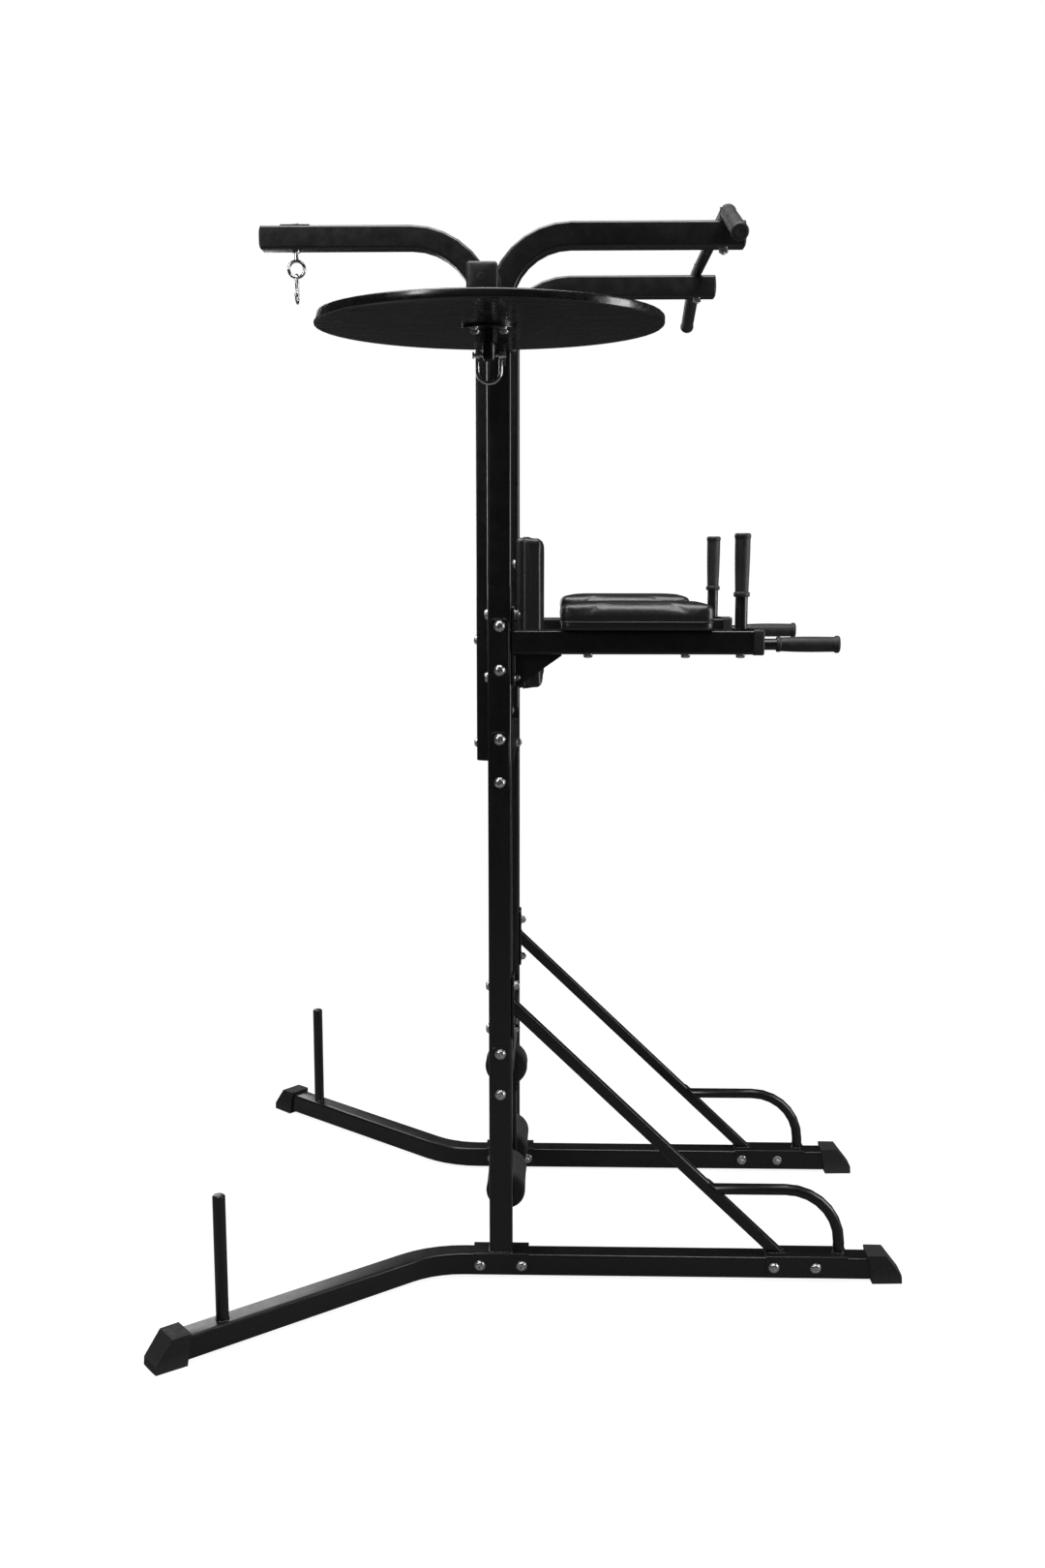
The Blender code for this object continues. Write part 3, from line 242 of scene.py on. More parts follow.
def grip_rubber():
    """Soft black rubber with a fine matt grain, dulled by hands."""
    finish = Finish("grip_rubber", (0.015, 0.015, 0.015), 0.6)
    finish.tint(finish.noise(30.0, 4.0, 0.6), (0.012, 0.012, 0.012), (0.021, 0.021, 0.021), (0.35, 0.65))
    finish.gloss(finish.noise(60.0, 4.0), 0.46, 0.66)
    grain = finish.bump(finish.cells(1100.0), 0.25, 0.0003)
    finish.link(finish.bump(finish.noise(240.0, 3.0), 0.1, 0.0006, grain), "Normal")
    return finish.material


def foam():
    """Closed-cell foam with a soft skin."""
    finish = Finish("roller_foam", (0.008, 0.008, 0.008), 0.85)
    finish.tint(finish.noise(45.0, 5.0, 0.65), (0.005, 0.005, 0.005), (0.012, 0.012, 0.012))
    finish.gloss(finish.noise(90.0, 3.0), 0.72, 0.92)
    finish.set("Sheen Weight", 0.1)
    finish.set("Sheen Roughness", 0.5)
    pores = finish.bump(finish.cells(700.0, "F1"), 0.35, 0.0006)
    finish.link(finish.bump(finish.noise(1400.0, 3.0), 0.2, 0.0003, pores), "Normal")
    return finish.material


def vinyl():
    """Upholstery vinyl: pebbled grain, softly glossy on the raised grains, with painted shade darkening the
    creases between them.
    """
    finish = Finish("pad_vinyl", (0.013, 0.013, 0.014), 0.38)
    grain = finish.cells(520.0, source=finish.drifted(260.0, 0.0015))
    pebble_and_crease_shade = finish.spread(grain, 0.0, 0.28, 0.0, 1.0)
    # Base colour darker in the creases between the grains and lighter on their tops: painted shade
    finish.tint(pebble_and_crease_shade, (0.008, 0.008, 0.008), (0.016, 0.016, 0.017))
    finish.gloss(pebble_and_crease_shade, 0.46, 0.27, (0.0, 1.0))
    finish.set("Coat Weight", 0.35)
    finish.set("Coat Roughness", 0.22)
    soft = finish.bump(finish.noise(26.0, 3.0), 0.12, 0.004)
    finish.link(finish.bump(pebble_and_crease_shade, 0.3, 0.0004, soft), "Normal")
    return finish.material


def laminate():
    """Black laminate with faint brushed streaks along the board."""
    finish = Finish("board_laminate", (0.008, 0.008, 0.008), 0.24)
    streaks = finish.noise(1.0, 5.0, 0.6, finish.stretched((9.0, 130.0, 130.0)))
    finish.tint(streaks, (0.006, 0.006, 0.006), (0.014, 0.0135, 0.0135), (0.35, 0.7))
    finish.gloss(streaks, 0.16, 0.34)
    finish.set("Coat Weight", 0.4)
    finish.set("Coat Roughness", 0.12)
    finish.link(finish.bump(streaks, 0.06, 0.0008), "Normal")
    return finish.material


def moulded_plastic():
    """Black moulded plastic with a fine eroded texture."""
    finish = Finish("moulded_plastic", (0.016, 0.016, 0.017), 0.5)
    finish.tint(finish.noise(70.0, 4.0), (0.013, 0.013, 0.014), (0.021, 0.021, 0.022))
    finish.gloss(finish.noise(120.0, 3.0), 0.4, 0.56)
    finish.link(finish.bump(finish.noise(1600.0, 2.0), 0.22, 0.0002), "Normal")
    return finish.material


def foot_rubber():
    """Dull black rubber, greyed with dust towards the floor."""
    finish = Finish("foot_rubber", (0.018, 0.018, 0.018), 0.75)
    height = finish.add("SeparateXYZ", {"Vector": finish.place}).outputs["Z"]
    dust = finish.spread(height, 0.0, 0.03, 1.0, 0.0)
    speck = finish.times(dust, finish.noise(120.0, 5.0, 0.7))
    finish.tint(speck, (0.014, 0.014, 0.014), (0.06, 0.058, 0.055))
    finish.gloss(finish.noise(80.0, 4.0), 0.62, 0.86)
    finish.link(finish.bump(finish.noise(900.0, 3.0), 0.25, 0.0003), "Normal")
    return finish.material


FINISHES = {
    "frame_black": powder_coat(),
    "bolt_zinc": zinc(),
    "fitting_chrome": chrome(),
    "grip_rubber": grip_rubber(),
    "roller_foam": foam(),
    "pad_vinyl": vinyl(),
    "board_black": laminate(),
    "cap_plastic": moulded_plastic(),
    "foot_rubber": foot_rubber(),
}


def dress_node(node, slot):
    """Gives a carried-over CAD node its finish, and shades its flat faces flat and its round ones round."""
    thing = frame["nodes"][node]
    thing.data.materials.clear()
    thing.data.materials.append(FINISHES[slot])
    thing.data.shade_smooth()
    weld = thing.modifiers.new("Weld", "WELD")
    weld.merge_threshold = 0.00001
    split = thing.modifiers.new("EdgeSplit", "EDGE_SPLIT")
    split.split_angle = SMOOTH
    split.use_edge_sharp = False
    thing.modifiers.new("WeightedNormal", "WEIGHTED_NORMAL").keep_sharp = True


# ---- building pieces


def mesh_of(name, bm):
    """Turns mesh code into a mesh whose faces look outwards."""
    bmesh.ops.recalc_face_normals(bm, faces=bm.faces)
    mesh = bpy.data.meshes.new(name)
    bm.to_mesh(mesh)
    bm.free()
    return mesh


def add_object(name, data):
    """A new object in the scene."""
    thing = bpy.data.objects.new(name, data)
    bpy.context.scene.collection.objects.link(thing)
    return thing


def place_piece(name, bm, slot, body="root", smooth=SMOOTH):
    """Turns mesh code into a piece of the object, with its finish and the body that it rides on."""
    mesh = mesh_of(name, bm)
    mesh.materials.append(FINISHES[slot])
    mesh.shade_smooth()
    mesh.set_sharp_from_angle(angle=smooth)
    piece = add_object(name, mesh)
    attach(piece, body)
    return piece


def frame_axes(axis):
    """Two directions square to an axis."""
    nominal = X if abs(axis.z) > 0.9 else Z
    across = (nominal - axis * axis.dot(nominal)).normalized()
    return across, axis.cross(across)


def quarter(steps):
    """Sine and cosine of each step of a quarter turn, with both ends."""
    angles = [math.pi / 2 * step / steps for step in range(steps + 1)]
    return [(math.sin(angle), math.cos(angle)) for angle in angles]


def circle(radius, sides, turn=0.0):
    """A circle's corner points."""
    angles = [2 * math.pi * (side + turn) / sides for side in range(sides)]
    return [(radius * math.cos(angle), radius * math.sin(angle)) for angle in angles]


def rounded_outline(width, height, radius, steps=5):
    """Corner points of a rectangle with round corners."""
    points = []
    for corner in range(4):
        centre_u = (width / 2 - radius) * (1 if corner in (0, 3) else -1)
        centre_v = (height / 2 - radius) * (1 if corner in (0, 1) else -1)
        for step in range(steps + 1):
            angle = (corner + step / steps) * math.pi / 2
            points.append((centre_u + radius * math.cos(angle), centre_v + radius * math.sin(angle)))
    return points


def ring_at(bm, centre, across, other, outline):
    """Places an outline's points around a centre."""
    return [bm.verts.new(centre + across * u + other * v) for u, v in outline]


def skin(bm, rings, ends=True, closed=False):
    """Joins rings of points with faces, and closes the first and the last one or joins them to each other."""
    pairs = list(zip(rings, rings[1:]))
    if closed:
        pairs.append((rings[-1], rings[0]))
    for ring, following in pairs:
        for index in range(len(ring)):
            after = (index + 1) % len(ring)
            corners = list(dict.fromkeys([ring[index], ring[after], following[after], following[index]]))
            if len(corners) > 2:
                bm.faces.new(corners)
    if ends and not closed:
        bm.faces.new(rings[0])
        bm.faces.new(rings[-1])


def lathe(bm, profile, base, axis, sides=32):
    """Adds a turned surface from (radius, height) points; a radius of zero closes it."""
    across, other = frame_axes(axis)
    rings = []
    for radius, height in profile:
        centre = base + axis * height
        if radius == 0:
            rings.append([bm.verts.new(centre)] * sides)
        else:
            rings.append(ring_at(bm, centre, across, other, circle(radius, sides, 0.5)))
    skin(bm, rings, ends=False)


def tube_along(bm, places, radii, flat, sides=12, closed=False):
    """Adds a round tube through the places; flat is the normal of the plane they lie in."""
    last = len(places) - 1
    rings = []
    for index, place in enumerate(places):
        before = places[index - 1] if closed or index > 0 else place
        after = places[(index + 1) % len(places)] if closed or index < last else place
        direction = (after - before).normalized()
        across = flat.cross(direction).normalized()
        radius = radii[index] if isinstance(radii, list) else radii
        rings.append(ring_at(bm, place, across, direction.cross(across), circle(radius, sides)))
    skin(bm, rings, closed=closed)


def resampled(points, spacing, closed=True):
    """An outline, closed or open, with points at about even spacing."""
    following = points[1:] + points[:1] if closed else points[1:]
    result = []
    for first, second in zip(points, following):
        count = max(1, round((second - first).length / spacing))
        result.extend(first.lerp(second, step / count) for step in range(count))
    return result if closed else result + [points[-1]]


# ---- bolts and welds

HEX_R = 0.0093
HEX_HEIGHT = 0.0062
NUT_HEIGHT = 0.0078
WASHER_R = 0.0115
WASHER_HEIGHT = 0.0015
SMALL_WASHER_R = 0.009
SHANK_R = 0.0049
THREAD_PITCH = 0.0015
THREAD_LENGTH = 0.0045
BUTTON_R = 0.0102
BUTTON_HEIGHT = 0.0048
BUTTON_RIM = 0.0011
SOCKET_R = 0.0038
SOCKET_DEPTH = 0.003
DOME_RIM = 0.001
DOME_HEIGHT = 0.004

# Heights of the three crossbeams' middles, and where their end plates and edges are
BEAM_Z = {"lower": 0.4695, "middle": 1.153, "upper": 1.389}
BEAM_PLATE = 0.005
BEAM_HALF = 0.025
BEAM_FRONT_X = 0.02
BEAM_BACK_X = -0.014

# Strips over the uprights: corner radius, thickness with its broken edge, and the bolts' way from the end
STRIP_CORNER = 0.01
STRIP_LEVELS = ((0.0, 0.0), (0.0015, 0.0), (0.002, 0.0006))
STRIP_GAP = 0.0003
STRIP_THICKNESS = 0.002
STRIP_MARGIN = 0.016

# Bolts of a side frame, from the middle of its upright: through saddles and channels (name, height, X of
# each), through plates on the upright (name, plate, height of each), and into the dip arm from below (X).
# The back pad's bolts have their first number, X and height
SADDLE_FACE = HALF_TUBE + 0.0043
THROUGH_BOLTS = (("saddle_bolt", 0.032, (-0.046, 0.046)), ("channel_bolt", 0.034, (0.6, 0.691)))
PLATE_BOLTS = (("brace_bolt", 0.0043, (0.661, 0.565)), ("dip_bolt", 0.0053, (1.458, 1.327)))
UNDER_BOLTS = (("pad_bolt_{}_1", 0.184), ("pad_bolt_{}_2", 0.387), ("handle_bolt_{}", 0.501))
DIP_UNDER = 1.3765
DIP_TOP = 1.4265
BAR_X = 0.45
BAR_CLAMP = 0.0248
PLATFORM_BOLT_Z = (1.999, 2.029)
BAG_ARM_BACK = -0.0643
BAG_BEAM_FRONT = 0.026
PAD_BOLT_Y = (-0.042, 0.042)
PAD_BOLTS = ((1, 0.026, 1.56), (3, -0.014, 1.389))
HOLD_X = 0.006
HOLD_BOLT_Y = (-0.02, 0.02)
HOLD_TOP = 0.4945

# Weld beads: their radii, and what they join. A brace's foot has X and two sides, its top has X, Z and two
# sides, the leg-hold's foot has Z, a side and a corner, the platform's arm has its way out and Z, and pegs,
# forward handles and axles have their way out, Z and radius
BEAD = 0.0022
THIN_BEAD = 0.0018
GUSSET_BEAD = 0.0016
FINE_BEAD = 0.0014
BEAD_SPACING = 0.0025
WEB_TOP = 0.0603
PLATE_X = 0.0303
PUSH_X = 0.7445
PUSH_R = 0.0125
PUSH_CUT_R = 0.018
PUSH_JOINT_Z = 0.203
BRACE_FOOT = (0.6058, 0.036, 0.025)
BRACE_TOP = (0.0293, 0.614, 0.025, 0.0345)
BRACE_CORNER = 0.004
BRACE_FALL = 0.9603
BRACE_UP = Vector((0.6927, 0, 0.7213))
BRACE_ALONG = Vector((-0.7213, 0, 0.6927))
DIP_WELD_HALF = 0.02
GUSSET_HALF = 0.0025
GUSSET_RUN = ((0.124, 1.3762), (0.032, 1.3762))
GUSSET_DROP = ((0.0305, 1.372), (0.0305, 1.312))
SPLAY = math.radians(39)
RAIL_BEND_X = -0.152
PEG = (0.513, 0.056, 0.013)
FORWARD = (0.5484, 1.397, 0.012)
AXLE = (0.02, 0.145, 0.01)
PLATFORM = (0.0293, 2.0143)
HOLD_FOOT = (0.326, 0.04, 0.005)


def add_hex(bm, base, axis, radius, height):
    """A hexagon with its outer corners turned off at an angle."""
    across, other = frame_axes(axis)
    flat = radius * math.cos(math.pi / 6)
    chamfer = height * 0.16
    levels = ((0.0, radius, flat), (height - chamfer, radius, flat), (height, radius * 0.9, flat * 0.985))
    rings = []
    for offset, corner, side in levels:
        reaches = (corner, side) * 6
        outline = [(u * reach, v * reach) for reach, (u, v) in zip(reaches, circle(1, 12))]
        rings.append(ring_at(bm, base + axis * offset, across, other, outline))
    skin(bm, rings)


def add_button(bm, base, axis):
    """A round button head with a hexagonal socket."""
    across, other = frame_axes(axis)
    levels = [(BUTTON_R * 0.985, 0.0), (BUTTON_R, 0.0004), (BUTTON_R, BUTTON_RIM)]
    for step in range(1, 6):
        angle = math.radians(62) * step / 5
        radius = BUTTON_R * math.cos(angle) + 0.0004 * step / 5
        levels.append((radius, BUTTON_RIM + BUTTON_HEIGHT * math.sin(angle)))
    top = levels[-1][1]
    socket = [(SOCKET_R * 1.06, top + 0.0001), (SOCKET_R, top - 0.0003), (SOCKET_R, top - SOCKET_DEPTH)]
    rings = []
    for radius, height in levels:
        rings.append(ring_at(bm, base + axis * height, across, other, circle(radius, 24)))
    for radius, height in socket:
        outline = []
        for index, (u, v) in enumerate(circle(radius, 24)):
            wall = math.cos(math.radians(30)) / math.cos(math.radians(15 * index % 60 - 30))
            outline.append((u * wall, v * wall))
        rings.append(ring_at(bm, base + axis * height, across, other, outline))
    skin(bm, rings)


def add_washer(bm, base, axis, radius=WASHER_R):
    """A flat washer with its edge broken."""
    edge = 0.0003
    profile = [(0, 0), (radius - edge, 0), (radius, edge), (radius, WASHER_HEIGHT - edge)]
    profile += [(radius - edge, WASHER_HEIGHT), (0, WASHER_HEIGHT)]
    lathe(bm, profile, base, axis, 28)


def add_thread(bm, base, axis, length):
    """The threaded end of a shank, with its tip chamfered."""
    profile = [(0, 0)]
    turns = max(1, int(length / THREAD_PITCH))
    for turn in range(turns):
        height = turn * THREAD_PITCH
        profile += [(SHANK_R * 0.86, height), (SHANK_R, height + THREAD_PITCH / 2)]
    profile += [(SHANK_R * 0.8, turns * THREAD_PITCH), (0, turns * THREAD_PITCH)]
    lathe(bm, profile, base, axis, 20)


def frame_bolt(name, place, axis, grip, nut=True, washer=WASHER_R, head="button"):
    """A bolt in the frame: place is on the face under its head, and grip is the way to the nut's face."""
    bm = bmesh.new()
    add_washer(bm, place, axis, washer)
    seat = place + axis * WASHER_HEIGHT
    if head == "button":
        add_button(bm, seat, axis)
    elif head == "dome":
        profile = [(0, 0), (HEX_R, 0), (HEX_R, DOME_RIM)]
        profile += [(HEX_R * cos, DOME_RIM + DOME_HEIGHT * sin) for sin, cos in quarter(6)[1:6]]
        profile.append((0, DOME_RIM + DOME_HEIGHT))
        lathe(bm, profile, seat, axis, 28)
    else:
        add_hex(bm, seat, axis, HEX_R, HEX_HEIGHT)
        boss = [(0, 0), (HEX_R * 0.62, 0), (HEX_R * 0.55, 0.0005), (0, 0.0005)]
        lathe(bm, boss, seat + axis * HEX_HEIGHT, axis, 20)
    if nut:
        back = place - axis * grip
        add_washer(bm, back, -axis, washer)
        nut_face = back - axis * WASHER_HEIGHT
        add_hex(bm, nut_face, -axis, HEX_R, NUT_HEIGHT)
        add_thread(bm, nut_face - axis * NUT_HEIGHT, -axis, THREAD_LENGTH)
    place_piece(name, bm, "bolt_zinc", smooth=SMOOTH_BOLT)


def weld_bead(name, outline, radius=BEAD, closed=True, normal=Z):
    """A rippled weld bead laid along an outline that lies in a plane."""
    places = resampled(outline, BEAD_SPACING, closed)
    radii = []
    for index, place in enumerate(places):
        ripple = 0.1 * math.sin(index * 1.9)
        radii.append(radius * (1 + ripple + 0.12 * noise.noise(place * 160)))
    bm = bmesh.new()
    tube_along(bm, places, radii, normal, 8, closed)
    place_piece(name, bm, "frame_black")


def ring_points(centre, first, second, radius_first, radius_second, count=40):
    """Points of an ellipse in the plane of two directions."""
    turns = [2 * math.pi * index / count for index in range(count)]
    return [centre + first * radius_first * math.cos(a) + second * radius_second * math.sin(a) for a in turns]


def tube_outline(centre, first, second, width, height, corner=0.006):
    """A square tube's outline in the plane of two directions."""
    return [centre + first * u + second * v for u, v in rounded_outline(width, height, corner, 4)]


def cross_bolt_sets():
    """The strips and bolts that clamp each crossbeam to the uprights, in place of the CAD bodies."""
    for level in BEAM_Z:
        for word, side in SIDES.items():
            node = f"cross_bolts_{level}_{word}"
            centre = middle(node)
            out = Y * side
            face = Vector((centre.x, POST[word].y + side * (HALF_TUBE + STRIP_GAP), centre.z))
            width = high(node).x - low(node).x
            height = high(node).z - low(node).z
            outline = rounded_outline(width, height, STRIP_CORNER)
            bm = bmesh.new()
            rings = []
            for depth, inset in STRIP_LEVELS:
                share_u = 1 - 2 * inset / width
                share_v = 1 - 2 * inset / height
                smaller = [(u * share_u, v * share_v) for u, v in outline]
                rings.append(ring_at(bm, face + out * depth, X, Z, smaller))
            skin(bm, rings)
            strip = place_piece(f"cross_strip_{level}_{word}", bm, "frame_black", smooth=SMOOTH_PLATE)
            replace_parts(strip, node)
            beam = f"crossbeam_{level}"
            inner = abs(low(beam).y - high(beam).y) / 2 - BEAM_PLATE
            outer = abs(face.y - CENTRE.y) + STRIP_THICKNESS
            reach = height / 2 - STRIP_MARGIN
            for number, offset in enumerate((-reach, reach)):
                place = face + out * STRIP_THICKNESS + Z * offset
                frame_bolt(f"cross_bolt_{level}_{word}_{number + 1}", place, out, outer - inner)


def side_bolts(word, side):
    """The bolts of one side frame."""
    y = POST[word].y - CENTRE.y
    for name, height, places in THROUGH_BOLTS:
        for number, x in enumerate(places):
            place = at(x, y + side * SADDLE_FACE, height)
            frame_bolt(f"{name}_{word}_{number + 1}", place, Y * side, 2 * SADDLE_FACE)
    for name, plate, heights in PLATE_BOLTS:
        for number, z in enumerate(heights):
            frame_bolt(f"{name}_{word}_{number + 1}", at(-HALF_TUBE, y, z), -X, 2 * HALF_TUBE + plate)
    for name, x in UNDER_BOLTS:
        frame_bolt(name.format(word), at(x, y, DIP_UNDER), -Z, 0.0, nut=False, head="hex")
    top = high(f"pull_up_arm_{word}").z + BAR_CLAMP
    grip = top - low(f"pull_up_arm_cap_{word}").z
    frame_bolt(f"bar_bolt_{word}", at(BAR_X, y, top), Z, grip, head="dome", washer=SMALL_WASHER_R)


def frame_bolts():
    """Bolts through saddles, channels, plates and pads."""
    for word, side in SIDES.items():
        side_bolts(word, side)
    for number, z in enumerate(PLATFORM_BOLT_Z):
        place = at(SADDLE_FACE, POST["near"].y - CENTRE.y, z)
        frame_bolt(f"platform_bolt_{number + 1}", place, X, 2 * SADDLE_FACE)
    for level in ("middle", "upper"):
        grip = BAG_BEAM_FRONT - BAG_ARM_BACK
        place = at(BAG_ARM_BACK, 0.0, BEAM_Z[level])
        frame_bolt(f"bag_arm_bolt_{level}", place, -X, grip, nut=level == "middle")
    for number, y in enumerate(PAD_BOLT_Y):
        for first, x, z in PAD_BOLTS:
            frame_bolt(f"back_pad_bolt_{first + number}", at(x, y, z), -X, 0.0, nut=False)
    for number, y in enumerate(HOLD_BOLT_Y):
        frame_bolt(f"leg_hold_bolt_{number + 1}", at(HOLD_X, y, HOLD_TOP), Z, 0.0, nut=False, head="hex")


def side_welds(word, side):
    """The weld beads of one side frame."""
    y = POST[word].y - CENTRE.y
    tube = 2 * HALF_TUBE
    weld_bead(f"weld_saddle_{word}", tube_outline(at(0, y, WEB_TOP), X, Y, tube, tube))
    weld_bead(f"weld_push_{word}", ring_points(at(PUSH_X, y, WEB_TOP), X, Y, PUSH_R, PUSH_R), THIN_BEAD)
    x, width, height = BRACE_FOOT
    foot = tube_outline(at(x, y, WEB_TOP), X, Y, width, height, BRACE_CORNER)
    weld_bead(f"weld_brace_foot_{word}", foot, THIN_BEAD)
    x, z, width, height = BRACE_TOP
    top = tube_outline(at(x, y, z), Y, Z, width, height, BRACE_CORNER)
    weld_bead(f"weld_brace_top_{word}", top, THIN_BEAD, normal=X)
    joint = at(x + (z - PUSH_JOINT_Z) / BRACE_FALL, y, PUSH_JOINT_Z) + BRACE_UP * PUSH_R
    ring = ring_points(joint, BRACE_ALONG, Y, PUSH_CUT_R, PUSH_R)
    weld_bead(f"weld_push_top_{word}", ring, THIN_BEAD, normal=BRACE_UP)
    run = [at(PLATE_X, y - DIP_WELD_HALF, DIP_TOP), at(PLATE_X, y + DIP_WELD_HALF, DIP_TOP)]
    weld_bead(f"weld_dip_top_{word}", run, closed=False, normal=X)
    for number, offset in enumerate((-GUSSET_HALF, GUSSET_HALF)):
        run = [at(x, y + offset, z) for x, z in GUSSET_RUN]
        weld_bead(f"weld_gusset_{word}_{number + 1}", run, GUSSET_BEAD, closed=False)
        run = [at(x, y + offset, z) for x, z in GUSSET_DROP]
        weld_bead(f"weld_gusset_plate_{word}_{number + 1}", run, GUSSET_BEAD, closed=False, normal=X)
    reach, z, radius = PEG
    outward = Vector((-math.cos(SPLAY), side * math.sin(SPLAY), 0))
    peg = at(RAIL_BEND_X, y, z) + outward * reach
    weld_bead(f"weld_peg_{word}", ring_points(peg, X, Y, radius, radius), THIN_BEAD)
    x, z, radius = FORWARD
    weld_bead(f"weld_forward_{word}", ring_points(at(x, y, z), Y, Z, radius, radius), FINE_BEAD, normal=X)
    reach, z, radius = AXLE
    ring = ring_points(at(HOLD_X, side * reach, z), X, Z, radius, radius)
    weld_bead(f"weld_axle_{word}", ring, FINE_BEAD, normal=Y)
    for level, z in BEAM_Z.items():
        plate_y = side * (abs(low(f"crossbeam_{level}").y - CENTRE.y) - BEAM_PLATE)
        places = ((BEAM_FRONT_X, -1), (BEAM_BACK_X, -1), (BEAM_BACK_X, 1), (BEAM_FRONT_X, 1))
        corners = [at(x, plate_y, z + sign * BEAM_HALF) for x, sign in places]
        weld_bead(f"weld_beam_{level}_{word}", corners, THIN_BEAD, closed=False, normal=Y)


def frame_welds():
    """Weld beads where tubes meet plates and each other."""
    for word, side in SIDES.items():
        side_welds(word, side)
    inward, z = PLATFORM
    arm = at(0, POST["near"].y - CENTRE.y - inward, z)
    weld_bead("weld_platform_arm", tube_outline(arm, X, Z, 2 * HALF_TUBE, 2 * HALF_TUBE), normal=Y)
    z, size, corner = HOLD_FOOT
    weld_bead("weld_leg_hold", tube_outline(at(HOLD_X, 0, z), X, Y, size, size, corner), THIN_BEAD)


# ---- grips and rollers

# Grips: radii of the barrel from start to end, collar radius and length, rim radius, height of the ribs
VERTICAL_GRIP = ((0.0139, 0.0145, 0.0151, 0.0156, 0.0159, 0.0159), 0.0168, 0.0095, 0.0171, 0.00022)
FORWARD_GRIP = ((0.0146, 0.0157, 0.0162, 0.016, 0.0156), 0.016, 0.008, 0.018, 0.00022)
BAR_GRIP = ((0.0152, 0.0157, 0.0152), 0.0168, 0.005, 0.0168, 0.0)
GRIP_BORE = 0.0134
GRIP_RIBS = 48
RIM_ROUND = 0.0045
BAR_DROP = math.radians(20)
BAR_GRIP_LENGTH = 0.235
BAR_GRIP_END_R = 0.0165

# Foam rollers: bores, edge rounding, rows of points, and how far the barrel sags and ripples; then the caps
# and collars on their axles, and half the width of the knee roller's fork
ROLLER_BORE = 0.0105
KNEE_BORE = 0.0065
ROLLER_ROUND = 0.009
ROLLER_ROWS = 8
ROLLER_SAG = 0.0006
ROLLER_RIPPLE = 0.0009
AXLE_CAP_R = 0.0155
AXLE_CAP_RIM = 0.0035
AXLE_CAP_DOME = 0.0045
AXLE_CAP_GAP = 0.0008
COLLAR_WIDTH = 0.0036
COLLAR = ((0.0095, 0), (0.015, 0), (0.0155, 0.0004), (0.0155, 0.0026), (0.015, 0.003), (0.0095, 0.003))
FORK_HALF = 0.0328


def blend(values, share):
    """A value read between evenly spaced ones."""
    place = share * (len(values) - 1)
    first = min(int(place), len(values) - 2)
    return values[first] + (values[first + 1] - values[first]) * (place - first)


def grip_piece(name, node, start, axis, length, shape):
    """A rubber grip: collar, barrel with fine ribs, and a rounded rim at its end."""
    barrel, collar, collar_length, rim, ribs = shape
    profile = [(GRIP_BORE, 0.0), (collar - 0.001, 0.0), (collar, 0.001), (collar, collar_length - 0.0012)]
    profile += [(collar - 0.0006, collar_length - 0.0004), (barrel[0] + 0.0002, collar_length + 0.0008)]
    barrel_start = collar_length + 0.0012
    barrel_end = length - 0.013
    for step in range(GRIP_RIBS + 1):
        share = step / GRIP_RIBS
        rib = ribs * (1 if step % 2 else -1)
        profile.append((blend(barrel, share) + rib, barrel_start + (barrel_end - barrel_start) * share))
    profile.append((barrel[-1] + 0.0001, length - 0.0118))
    profile += [(rim - 0.0007, length - 0.0096), (rim, length - 0.008)]
    round_start = length - RIM_ROUND
    profile += [(rim - RIM_ROUND * (1 - cos), round_start + RIM_ROUND * sin) for sin, cos in quarter(5)]
    profile += [(0.004, length - 0.0002), (0.003, length - 0.001), (0, length - 0.001)]
    bm = bmesh.new()
    lathe(bm, profile, start, axis, 48)
    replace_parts(place_piece(name, bm, "grip_rubber"), node)


def build_grips():
    """Grips on the pull-up bar, the forward handles and the vertical handles."""
    for word, side in SIDES.items():
        for kind, axis, shape in (("forward", X, FORWARD_GRIP), ("vertical", Z, VERTICAL_GRIP)):
            node = f"{kind}_grip_{word}"
            length = (high(node) - low(node)).dot(axis)
            grip_piece(f"grip_{kind}_{word}", node, middle(node) - axis * length / 2, axis, length, shape)
        node = f"bar_grip_{word}"
        outward = Vector((0, side * math.cos(BAR_DROP), -math.sin(BAR_DROP)))
        outer_y = high(node).y if side > 0 else low(node).y
        end = Vector((middle(node).x, outer_y, low(node).z))
        end += Vector((0, -side * math.sin(BAR_DROP), math.cos(BAR_DROP))) * BAR_GRIP_END_R
        start = end - outward * BAR_GRIP_LENGTH
        grip_piece(f"grip_bar_{word}", node, start, outward, BAR_GRIP_LENGTH, BAR_GRIP)


